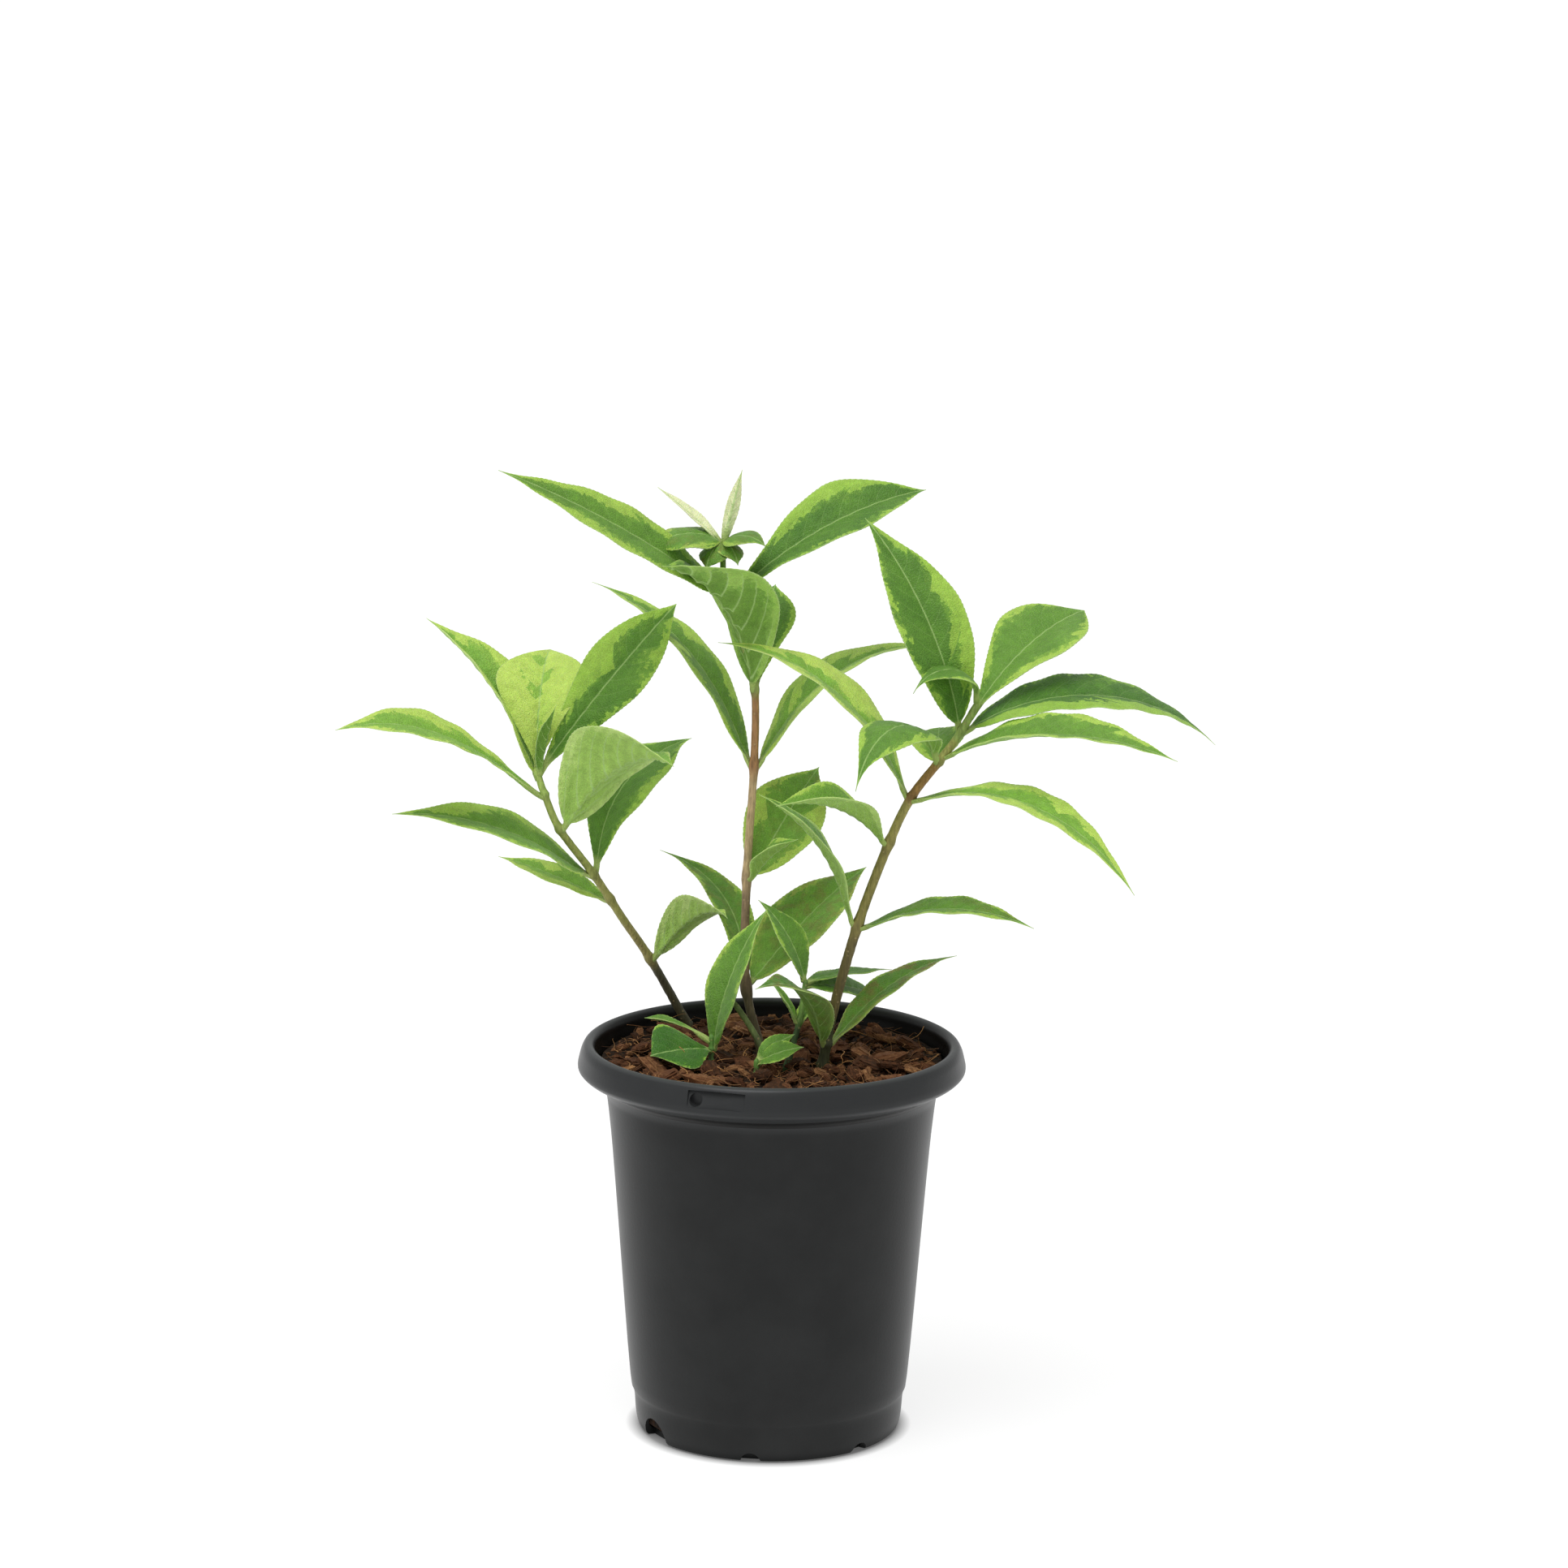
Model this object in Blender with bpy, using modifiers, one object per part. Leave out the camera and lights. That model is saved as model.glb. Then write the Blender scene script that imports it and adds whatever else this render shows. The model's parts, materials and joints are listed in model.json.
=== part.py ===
# A young variegated weigela in a round nursery pot.
# Three main stems and a few shoots rise from bark mulch. Leaves stand in pairs on swollen nodes
# of the stems, and each stem ends in a tuft of leaves.
# The origin is the middle of the pot's flat underside. +Z is up and -Y is the front.

import math

import bmesh
import bpy
from mathutils import Matrix, Vector, noise

MM = 0.001

# Pot, in millimetres: a 13 cm container of about one litre
POT_HEIGHT = 133.0
RIM_RADIUS = 65.0
MOUTH_RADIUS = 59.0
NECK_RADIUS = 54.7
NECK_HEIGHT = 112.6
BAND_RADIUS = 53.3
BAND_HEIGHT = 102.5
FOOT_RADIUS = 46.5
FOOT_HEIGHT = 15.2
BASE_RADIUS = 45.4
CONTACT_RADIUS = 43.0
WALL = 1.4
POT_STEPS = 48
DRAIN_COUNT = 7
DRAIN_FIRST = -57.0
LARGE_DRAIN_RADIUS = 6.5
SMALL_DRAIN_RADIUS = 3.6

# Mulch, in millimetres
BARK_TOP = 127.0
BARK_RELIEF = 1.6
BARK_LUMP = 9.0
FLAT_ROUND_STEM = 5.0

# Gap between neighbouring pieces, and the sizes that all leaves and stems share, in millimetres
GAP = 0.3
STEM_SIDES = 8
STEM_STEPS = 6
COLLAR_TUBE = 0.8
COLLAR_STEPS = 12
LEAF_STEPS = 9
LEAF_THICKNESS = 0.9
STALK_HALF_WIDTH = 0.85
TIP_HALF_WIDTH = 0.35

# Colours as the eye sees them
POT_BLACK = "2f3030"
BARK_BROWN = "6b3f28"
STEM_BROWN = "6a5a38"
LEAF_GREEN = "5c9a3c"


# Starting from an empty scene

for old in list(bpy.data.objects):
    bpy.data.objects.remove(old, do_unlink=True)

plant = bpy.data.collections.new("weigela_in_pot")
bpy.context.scene.collection.children.link(plant)
cutters = bpy.data.collections.new("cutters")
bpy.context.scene.collection.children.link(cutters)


# Common steps

def linear(hex_colour):
    """The colour of a six-digit sRGB code, as the shader wants it."""
    channels = [int(hex_colour[i:i + 2], 16) / 255.0 for i in (0, 2, 4)]
    return [c / 12.92 if c <= 0.04045 else ((c + 0.055) / 1.055) ** 2.4 for c in channels] + [1.0]


def finish(obj, hex_colour, roughness):
    """Gives an object its own plain material, named for it."""
    material = bpy.data.materials.new(obj.name + "_finish")
    material.use_nodes = True
    shader = material.node_tree.nodes["Principled BSDF"]
    shader.inputs["Base Color"].default_value = linear(hex_colour)
    shader.inputs["Roughness"].default_value = roughness
    shader.inputs["Metallic"].default_value = 0.0
    obj.data.materials.clear()
    obj.data.materials.append(material)


def place(name, mesh, collection):
    """Links a mesh to a collection as a named object at the origin."""
    obj = bpy.data.objects.new(name, mesh)
    collection.objects.link(obj)
    return obj


def evaluated_mesh(obj):
    """The object's mesh with its modifiers applied, or a curve's tube."""
    depsgraph = bpy.context.evaluated_depsgraph_get()
    return bpy.data.meshes.new_from_object(obj.evaluated_get(depsgraph))


def turned(name, profile, steps):
    """A solid of revolution from (radius, height) points in millimetres, both ends on the axis."""
    mesh = bpy.data.meshes.new(name)
    points = [(r * MM, 0.0, z * MM) for r, z in profile]
    edges = [(i, i + 1) for i in range(len(points) - 1)]
    mesh.from_pydata(points, edges, [])
    obj = place(name, mesh, plant)
    screw = obj.modifiers.new("turn", "SCREW")
    screw.steps = steps
    screw.render_steps = steps
    screw.use_merge_vertices = True
    screw.merge_threshold = 0.00001
    obj.data = evaluated_mesh(obj)
    obj.modifiers.clear()
    return obj


def joined(name, pieces):
    """One solid made from overlapping solids. The first one carries the others."""
    body = pieces[0]
    extras = bpy.data.collections.new(name + "_pieces")
    bpy.context.scene.collection.children.link(extras)
    for piece in pieces[1:]:
        plant.objects.unlink(piece)
        extras.objects.link(piece)
    union = body.modifiers.new("join", "BOOLEAN")
    union.operation = "UNION"
    union.operand_type = "COLLECTION"
    union.collection = extras
    union.solver = "EXACT"
    mesh = evaluated_mesh(body)
    body.modifiers.clear()
    body.data = mesh
    body.name = name
    for piece in list(extras.objects):
        bpy.data.objects.remove(piece, do_unlink=True)
    bpy.data.collections.remove(extras)
    return body


# Pot: turned wall with a rolled rim, a neck, a faint ring below the neck and a stepped foot

def rim_outline():
    """The rolled rim from the mouth over the top and round the bead to the neck."""
    lip = [(MOUTH_RADIUS, POT_HEIGHT - 4.5), (MOUTH_RADIUS + 0.2, POT_HEIGHT - 2.0),
           (MOUTH_RADIUS + 1.3, POT_HEIGHT - 0.4), (MOUTH_RADIUS + 3.1, POT_HEIGHT)]
    waist = [(RIM_RADIUS - 1.1, POT_HEIGHT - 0.9), (RIM_RADIUS - 0.4, POT_HEIGHT - 2.6),
             (RIM_RADIUS - 0.7, POT_HEIGHT - 4.8)]
    bead = [(RIM_RADIUS, POT_HEIGHT - 7.4), (RIM_RADIUS - 0.5, POT_HEIGHT - 10.8),
            (RIM_RADIUS - 2.4, POT_HEIGHT - 12.9), (RIM_RADIUS - 5.4, POT_HEIGHT - 14.6),
            (NECK_RADIUS + 2.2, NECK_HEIGHT + 4.4), (NECK_RADIUS + 0.8, NECK_HEIGHT + 2.2)]
    return lip + waist + bead


def pot():
    inside = [(0.0, WALL + 0.2), (CONTACT_RADIUS - 2.0, WALL + 0.2), (BASE_RADIUS - WALL, 4.5),
              (BASE_RADIUS - WALL, FOOT_HEIGHT - 3.0), (FOOT_RADIUS - WALL, FOOT_HEIGHT),
              (NECK_RADIUS - WALL, NECK_HEIGHT), (MOUTH_RADIUS - 1.2, NECK_HEIGHT + 6.0)]
    body = [(NECK_RADIUS, NECK_HEIGHT), (BAND_RADIUS + 0.1, BAND_HEIGHT + 0.9),
            (BAND_RADIUS - 0.1, BAND_HEIGHT - 0.6), (BAND_RADIUS - 0.7, BAND_HEIGHT - 1.4),
            (FOOT_RADIUS, FOOT_HEIGHT), (BASE_RADIUS + 0.1, FOOT_HEIGHT - 3.0),
            (BASE_RADIUS - 0.4, 4.6), (BASE_RADIUS - 1.1, 1.4), (CONTACT_RADIUS, 0.0), (0.0, 0.0)]
    shell = turned("pot", inside + rim_outline() + body, POT_STEPS)
    for index in range(DRAIN_COUNT):
        angle = math.radians(DRAIN_FIRST + index * 360.0 / DRAIN_COUNT)
        radius = LARGE_DRAIN_RADIUS if index % 4 == 0 else SMALL_DRAIN_RADIUS
        outward = Vector((math.sin(angle), -math.cos(angle), 0.0))
        bpy.ops.mesh.primitive_cylinder_add(
            vertices=16, radius=radius * MM, depth=12.0 * MM,
            location=outward * (BASE_RADIUS + 1.0) * MM,
            rotation=outward.to_track_quat("Z", "Y").to_euler())
        drain = bpy.context.active_object
        drain.name = "drain_cutter_%d" % (index + 1)
        for holder in list(drain.users_collection):
            holder.objects.unlink(drain)
        cutters.objects.link(drain)
        drain.hide_render = True
        drain.display_type = "WIRE"
    cut = shell.modifiers.new("drains", "BOOLEAN")
    cut.operation = "DIFFERENCE"
    cut.operand_type = "COLLECTION"
    cut.collection = cutters
    cut.solver = "EXACT"
    shell.data.set_sharp_from_angle(angle=math.radians(35.0))
    finish(shell, POT_BLACK, 0.45)


# Main stems and shoots. Each is a smooth line through its nodes, (x, y, z) in millimetres, from
# the foot on the mulch up. The first and last numbers are its thickness at the foot and the tip.

FOOT_Z = BARK_TOP + GAP

LEFT_STEM = {
    "nodes": [(-29, 44, FOOT_Z), (-42, 38, 152), (-51, 32, 167), (-61, 26, 184), (-72, 18, 201),
              (-77, 17, 213), (-80, 17, 222)],
    "foot": 3.4, "tip": 2.6, "end": 4.75}

CENTRE_STEM = {
    "nodes": [(-3, 1, FOOT_Z), (-9, 4, 152), (-9, 10, 187), (-7, 14, 224), (-7, 15, 250),
              (-11, 14, 266), (-17, 12, 282), (-18, 12, 300)],
    "foot": 3.6, "tip": 2.2, "end": 3.8}

RIGHT_STEM = {
    "nodes": [(17, -8, FOOT_Z), (20, -9, 145), (28, -12, 176), (38, -12, 204), (45, -11, 219),
              (54, -10, 231), (60, -9, 239), (67, -8, 251)],
    "foot": 3.9, "tip": 2.8, "end": 4.55}

FRONT_SHOOT = {"nodes": [(-20, -3, FOOT_Z), (-20, -3, 131), (-20, -3, 136)], "foot": 2.6, "tip": 2.2}
BACK_SHOOT = {"nodes": [(5, -12, FOOT_Z), (9, -8, 142), (11, -4, 155)], "foot": 2.4, "tip": 1.8}
BUD_SHOOT = {"nodes": [(-5, -20, FOOT_Z), (-5, -20, 129.5), (-5, -20, 132)], "foot": 2.2, "tip": 2.0}


def along(stem, where):
    """The point of a stem's smooth line at a node number, and the direction there."""
    nodes = [Vector(node) for node in stem["nodes"]]
    last = len(nodes) - 1
    index = min(int(where), last - 1)
    t = where - index
    a = nodes[index - 1] if index > 0 else nodes[0] * 2 - nodes[1]
    b, c = nodes[index], nodes[index + 1]
    d = nodes[index + 2] if index + 2 <= last else nodes[last] * 2 - nodes[last - 1]
    point = 0.5 * (2 * b + (c - a) * t + (2 * a - 5 * b + 4 * c - d) * t ** 2
                   + (3 * b - a - 3 * c + d) * t ** 3)
    direction = 0.5 * ((c - a) + 2 * (2 * a - 5 * b + 4 * c - d) * t
                       + 3 * (3 * b - a - 3 * c + d) * t ** 2)
    return point, direction.normalized()


def half_width(stem, where):
    """A stem's radius at a node number: an even taper, with a flare at the foot."""
    share = where / (len(stem["nodes"]) - 1)
    taper = stem["foot"] + (stem["tip"] - stem["foot"]) * share
    flare = 1.0 + 0.3 * math.exp(-12.0 * where)
    return 0.5 * taper * flare


def limb(name, stem, start, end):
    """A tapering tube along a stem, from one node number to another."""
    steps = max(2, round((end - start) * STEM_STEPS))
    curve = bpy.data.curves.new(name, "CURVE")
    curve.dimensions = "3D"
    curve.bevel_depth = MM
    curve.bevel_resolution = STEM_SIDES // 4
    curve.use_fill_caps = True
    line = curve.splines.new("POLY")
    stations = [start + (end - start) * i / steps for i in range(steps + 1)]
    stations[1:1] = [start + 0.2 * (stations[1] - start)]
    stations[-1:-1] = [end - 0.2 * (end - stations[-2])]
    line.points.add(len(stations) - 1)
    for point, where in zip(line.points, stations):
        place_at = along(stem, where)[0]
        if start == 0 and where == stations[1]:
            place_at.xy = Vector(stem["nodes"][0]).xy
        point.co = (place_at * MM).to_4d()
        point.radius = half_width(stem, where)
    tube = place(name + "_line", curve, plant)
    mesh = evaluated_mesh(tube)
    bpy.data.objects.remove(tube, do_unlink=True)
    weld = bmesh.new()
    weld.from_mesh(mesh)
    bmesh.ops.remove_doubles(weld, verts=weld.verts, dist=0.00001)
    weld.to_mesh(mesh)
    weld.free()
    mesh.shade_smooth()
    mesh.set_sharp_from_angle(angle=math.radians(50.0))
    return place(name, mesh, plant)


# Leaves. A leaf points along its turn (0 right, 90 back, 180 left, 270 front) and its rise over
# the level, both in degrees, and its length is the straight line from stalk to tip. It bows up by
# its bend and to its right by its sweep, its two halves rise by its fold, and roll lifts its right
# edge. A late bow stands highest past its middle.

def leaf(turn, rise, length, width, bend=35, roll=0, fold=12, sweep=0, late=1.0, widest=0.44):
    return {"turn": turn, "rise": rise, "length": length, "width": width, "bend": bend,
            "roll": roll, "fold": fold, "sweep": sweep, "late": late, "widest": widest}


def pointing(shape):
    """The directions along a leaf, to its side and out of its upper face."""
    turn = math.radians(shape["turn"])
    rise = math.radians(shape["rise"])
    ahead = Vector((math.cos(rise) * math.cos(turn), math.cos(rise) * math.sin(turn), math.sin(rise)))
    side = Vector((math.sin(turn), -math.cos(turn), 0.0))
    tilt = Matrix.Rotation(-math.radians(shape["roll"]), 3, ahead)
    side = tilt @ side
    return ahead, side, side.cross(ahead)


def bow(bend, share):
    """How high an even arc of this bend, in degrees, stands over its chord of length one."""
    half = math.radians(bend) / 2.0
    if abs(half) < 0.001:
        return 0.0
    radius = 0.5 / math.sin(half)
    across = share - 0.5
    return math.copysign(math.sqrt(radius ** 2 - across ** 2), radius) - 0.5 / math.tan(half)


def blade(share, widest):
    """The outline of a leaf: its half width at a share of its length, one at the widest place."""
    grown = share ** (math.log(0.5) / math.log(widest))
    return math.sin(math.pi * grown) ** (0.75 + 0.75 * share)


def leaf_solid(name, shape, root):
    """A leaf as a folded, bowed sheet with a thickness, rooted at a point in millimetres."""
    ahead, side, face = pointing(shape)
    length = shape["length"]
    stalk = 0.08
    form = bmesh.new()
    bmesh.ops.create_grid(form, x_segments=LEAF_STEPS, y_segments=2, size=0.5)
    for vert in form.verts:
        share = vert.co.x + 0.5
        edge = round(2.0 * vert.co.y)
        grown = max(0.0, (share - stalk) / (1.0 - stalk))
        narrow = STALK_HALF_WIDTH + (TIP_HALF_WIDTH - STALK_HALF_WIDTH) * share
        half = max(narrow, 0.5 * shape["width"] * blade(grown, shape["widest"]))
        fold = math.radians(shape["fold"]) * min(1.0, 4.0 * share)
        out = side * (edge * math.cos(fold)) + face * (abs(edge) * math.sin(fold))
        spine = (ahead * share + face * bow(shape["bend"], share ** shape["late"])
                 + side * bow(shape["sweep"], share)) * length
        vert.co = (Vector(root) + spine + out * half) * MM
    mesh = bpy.data.meshes.new(name)
    form.to_mesh(mesh)
    form.free()
    sheet = place(name, mesh, plant)
    thicken = sheet.modifiers.new("thickness", "SOLIDIFY")
    thicken.thickness = LEAF_THICKNESS * MM
    thicken.offset = 0.0
    thicken.use_even_offset = False
    sheet.data = evaluated_mesh(sheet)
    sheet.modifiers.clear()
    return sheet


def leaf_root(stem, where, shape, reach):
    """Where a leaf's stalk starts: on its side of the stem, this far from the stem's line."""
    point, direction = along(stem, where)
    ahead = pointing(shape)[0]
    outward = ahead - direction * ahead.dot(direction)
    return point + outward.normalized() * reach


def collar(name, stem, where):
    """The swollen ring of a node, clear of the stem that it stands round."""
    point, direction = along(stem, where)
    inner = (half_width(stem, where) + GAP) / math.cos(math.pi / COLLAR_STEPS)
    bpy.ops.mesh.primitive_torus_add(
        major_segments=COLLAR_STEPS, minor_segments=6,
        major_radius=(inner + COLLAR_TUBE) * MM, minor_radius=COLLAR_TUBE * MM,
        location=point * MM, rotation=direction.to_track_quat("Z", "Y").to_euler())
    ring = bpy.context.active_object
    ring.name = name
    for holder in list(ring.users_collection):
        holder.objects.unlink(ring)
    plant.objects.link(ring)
    bpy.context.view_layer.update()
    ring.data.transform(ring.matrix_world)
    ring.matrix_world = Matrix.Identity(4)
    return ring, inner + COLLAR_TUBE


def node_leaves(name, stem, where, leaves):
    """The leaves of one node, fused to the node's ring."""
    ring, reach = collar(name, stem, where)
    pieces = [ring]
    for number, shape in enumerate(leaves):
        root = leaf_root(stem, where, shape, reach)
        pieces.append(leaf_solid("%s_%d" % (name, number + 1), shape, root))
    finish(joined(name, pieces), LEAF_GREEN, 0.5)


def tuft(name, stem, start, leaves):
    """A length of stem with the leaves that grow from it, each at its own node number."""
    pieces = [limb(name, stem, start, len(stem["nodes"]) - 1)]
    for number, (where, shape) in enumerate(leaves):
        root = leaf_root(stem, where, shape, 0.3 * half_width(stem, where))
        pieces.append(leaf_solid("%s_%d" % (name, number + 1), shape, root))
    finish(joined(name, pieces), LEAF_GREEN, 0.5)


def after_gap(stem):
    """The node number just past a main stem's end, a gap further on."""
    end = stem["end"]
    stride = (along(stem, end + 0.1)[0] - along(stem, end)[0]).length
    return end + 0.1 * GAP / stride


# Mulch: a filling that follows the pot's inside, with a lumpy top that is flat round each stem

def mulch(stems):
    wall = WALL + GAP
    outline = [(0.0, BARK_TOP)]
    outline += [(ring * 7.0, BARK_TOP) for ring in range(1, 8)]
    outline += [(MOUTH_RADIUS - 2.0, BARK_TOP), (MOUTH_RADIUS - 1.6, BARK_TOP - 2.0),
                (MOUTH_RADIUS - 1.2 - 2.0 * GAP, NECK_HEIGHT + 6.0),
                (NECK_RADIUS - wall - GAP, NECK_HEIGHT), (FOOT_RADIUS - wall - GAP, FOOT_HEIGHT),
                (BASE_RADIUS - wall - GAP, FOOT_HEIGHT - 3.0), (BASE_RADIUS - wall - GAP, 4.5),
                (CONTACT_RADIUS - 3.0, WALL + 0.2 + GAP), (0.0, WALL + 0.2 + GAP)]
    filling = turned("potting_bark", outline, 36)
    feet = [Vector(stem["nodes"][0]) for stem in stems]
    for vert in filling.data.vertices:
        spot = vert.co / MM
        if abs(spot.z - BARK_TOP) > 0.01:
            continue
        clear = min((spot.xy - foot.xy).length for foot in feet)
        fade = max(0.0, min(1.0, (clear - FLAT_ROUND_STEM) / FLAT_ROUND_STEM))
        inside = min(1.0, (MOUTH_RADIUS - spot.xy.length) / 8.0)
        lump = noise.noise(Vector((spot.x, spot.y, 3.0)) / BARK_LUMP)
        vert.co.z += BARK_RELIEF * lump * fade * inside * MM
    finish(filling, BARK_BROWN, 0.9)


# The whole plant

pot()
mulch([LEFT_STEM, CENTRE_STEM, RIGHT_STEM, FRONT_SHOOT, BACK_SHOOT, BUD_SHOOT])

for stem_name, main_stem in (("left_stem", LEFT_STEM), ("centre_stem", CENTRE_STEM),
                             ("right_stem", RIGHT_STEM)):
    finish(limb(stem_name, main_stem, 0, main_stem["end"]), STEM_BROWN, 0.7)

# Leaves of the left stem
node_leaves("left_lower_leaves", LEFT_STEM, 1, [
    leaf(312, 28, 42, 19, bend=65, roll=32, fold=28)])
node_leaves("left_side_leaves", LEFT_STEM, 2.45, [
    leaf(150, 13, 44, 14, bend=12, fold=15)])
node_leaves("left_middle_leaves", LEFT_STEM, 3, [
    leaf(198, 21, 72, 20, bend=46, roll=15, fold=15),
    leaf(48, 40, 60, 27, bend=50, roll=-10, fold=10, sweep=-50, widest=0.55)])
node_leaves("left_upper_leaves", LEFT_STEM, 4, [
    leaf(317, 32, 55, 37, bend=90, roll=28, fold=30)])
tuft("left_tip_leaves", LEFT_STEM, after_gap(LEFT_STEM), [
    (5.0, leaf(199, 20, 76, 21, bend=58, roll=18, fold=12, late=1.3, widest=0.62)),
    (5.6, leaf(147, 47, 68, 24, bend=40, fold=35)),
    (5.9, leaf(84, 52, 46, 31, bend=95, fold=15, widest=0.6)),
    (5.8, leaf(14, 50, 73, 23, bend=30, roll=-60, fold=10, widest=0.6)),
    (5.8, leaf(316, 71, 26, 9, bend=10, roll=-30, fold=30))])

# Leaves of the centre stem
node_leaves("centre_lower_leaves", CENTRE_STEM, 1, [
    leaf(115, 29, 70, 13, bend=45, fold=15, sweep=60),
    leaf(41, 33, 60, 27, bend=24, roll=-10, fold=12)])
node_leaves("centre_middle_leaves", CENTRE_STEM, 2, [
    leaf(55, 39, 50, 27, bend=40, roll=-30, fold=15),
    leaf(315, 38, 27, 12, bend=30, roll=-20, fold=35)])
node_leaves("centre_upper_leaves", CENTRE_STEM, 3, [
    leaf(146, 41, 85, 20, bend=58, roll=-5, fold=12),
    leaf(23, 30, 74, 23, bend=75, fold=15)])
tuft("centre_tip_leaves", CENTRE_STEM, after_gap(CENTRE_STEM), [
    (4.0, leaf(228, 46, 65, 38, bend=70, fold=30, widest=0.5)),
    (4.0, leaf(75, 52, 40, 22, bend=40, fold=12, widest=0.6)),
    (6.0, leaf(200, 30, 90, 20, bend=20, roll=42, fold=10)),
    (5.9, leaf(20, 26, 78, 28, bend=45, roll=-28, fold=20, widest=0.6)),
    (7.0, leaf(190, -3, 24, 18, bend=60, roll=15, fold=-10)),
    (7.0, leaf(320, 5, 15, 13, bend=70, roll=-10, fold=-10)),
    (7.0, leaf(165, 38, 28, 7, bend=5, roll=20, fold=25)),
    (7.0, leaf(350, 76, 25, 6, bend=10, roll=80, fold=25))])

# Leaves of the right stem
node_leaves("right_base_leaves", RIGHT_STEM, 0.45, [
    leaf(235, 35, 46, 20, bend=90, roll=15, fold=8),
    leaf(33, 26, 55, 15, bend=45, fold=12)])
node_leaves("right_lower_leaves", RIGHT_STEM, 2, [
    leaf(197, 55, 55, 20, bend=54, roll=10, fold=15),
    leaf(336, 6, 60, 16, bend=52, roll=-10, fold=12)])
node_leaves("right_middle_leaves", RIGHT_STEM, 3, [
    leaf(215, 21, 46, 22, bend=85, fold=35)])
node_leaves("right_upper_leaves", RIGHT_STEM, 4, [
    leaf(168, 37, 79, 22, bend=72, roll=8, fold=15),
    leaf(327, -14, 85, 20, bend=78, roll=-5, fold=12)])
tuft("right_tip_leaves", RIGHT_STEM, after_gap(RIGHT_STEM), [
    (5.0, leaf(232, -4, 45, 24, bend=145, roll=8, fold=-10, sweep=22)),
    (5.0, leaf(88, 14, 27, 19, bend=30, roll=10, fold=12)),
    (5.3, leaf(334, 4, 82, 22, bend=45, roll=-12, fold=20)),
    (6.2, leaf(149, 61, 77, 26, bend=40, roll=35, fold=15, sweep=14)),
    (6.6, leaf(42, 31, 60, 34, bend=50, roll=-15, fold=10, widest=0.64)),
    (6.2, leaf(14, -5, 90, 32, bend=78, roll=-18, fold=20)),
    (7.0, leaf(208, 10, 25, 15, bend=150, roll=10, fold=-10))])

# Leaves of the shoots at the foot
tuft("front_shoot_leaves", FRONT_SHOOT, 0, [
    (1.0, leaf(350, 70, 52, 18, bend=35, roll=-45, fold=15)),
    (1.0, leaf(217, 3, 25, 24, bend=20, roll=25, fold=8, widest=0.58)),
    (1.6, leaf(152, 10, 26, 7, bend=30, fold=15, widest=0.75))])
tuft("back_shoot_leaves", BACK_SHOOT, 0, [
    (1.0, leaf(181, 56, 17, 6, bend=10, roll=15, fold=15)),
    (1.0, leaf(62, 30, 11, 6, bend=10, fold=15)),
    (2.0, leaf(155, 56, 31, 13, bend=50, roll=15, fold=15)),
    (2.0, leaf(46, -4, 42, 10, bend=10, fold=5)),
    (1.9, leaf(54, -16, 44, 14, bend=20, roll=-30, fold=12))])
tuft("bud_shoot_leaves", BUD_SHOOT, 0, [
    (1.6, leaf(345, 22, 17, 9, bend=30, roll=-40, fold=12)),
    (2.0, leaf(20, 30, 15, 8, bend=30, roll=-30, fold=12))])
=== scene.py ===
# A young variegated weigela in a round nursery pot: the finished surfaces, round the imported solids.
# All lengths are in millimetres until a mesh is made.

import math

import bmesh
import bpy
import numpy as np
from mathutils import Matrix, Vector, noise
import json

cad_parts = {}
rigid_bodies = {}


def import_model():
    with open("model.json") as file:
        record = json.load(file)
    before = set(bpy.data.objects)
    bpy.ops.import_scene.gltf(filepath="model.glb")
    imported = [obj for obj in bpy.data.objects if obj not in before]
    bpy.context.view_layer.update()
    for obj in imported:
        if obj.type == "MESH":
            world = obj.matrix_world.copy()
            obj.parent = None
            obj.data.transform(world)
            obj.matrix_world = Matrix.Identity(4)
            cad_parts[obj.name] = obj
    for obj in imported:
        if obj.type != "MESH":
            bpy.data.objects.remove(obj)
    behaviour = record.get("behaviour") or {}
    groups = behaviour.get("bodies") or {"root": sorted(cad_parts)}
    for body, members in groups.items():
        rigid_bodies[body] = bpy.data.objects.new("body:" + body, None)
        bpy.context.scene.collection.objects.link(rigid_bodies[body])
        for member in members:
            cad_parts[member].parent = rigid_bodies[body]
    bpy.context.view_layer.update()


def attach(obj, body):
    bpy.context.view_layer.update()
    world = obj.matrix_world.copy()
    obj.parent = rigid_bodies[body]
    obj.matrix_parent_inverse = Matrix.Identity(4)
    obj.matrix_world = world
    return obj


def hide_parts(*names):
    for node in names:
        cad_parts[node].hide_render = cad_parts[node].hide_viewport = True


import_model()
MM = 0.001


# Studio
# A lit white floor, soft white light from all sides and one large soft box above, as for a
# catalogue picture. The camera stands 1.7 m in front of the pot and looks down on it a little.

def linear(code):
    """The colour of a six-digit sRGB code, as the shader wants it."""
    channels = [int(code[i:i + 2], 16) / 255.0 for i in (0, 2, 4)]
    return [c / 12.92 if c <= 0.04045 else ((c + 0.055) / 1.055) ** 2.4 for c in channels] + [1.0]


def node(tree, kind, inputs=None, **settings):
    """Adds a node with its settings, and its inputs as values or as links from other sockets."""
    made = tree.nodes.new(kind)
    for key, value in settings.items():
        setattr(made, key, value)
    for key, value in (inputs or {}).items():
        if isinstance(value, bpy.types.NodeSocket):
            tree.links.new(value, made.inputs[key])
        else:
            made.inputs[key].default_value = value
    return made


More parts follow.
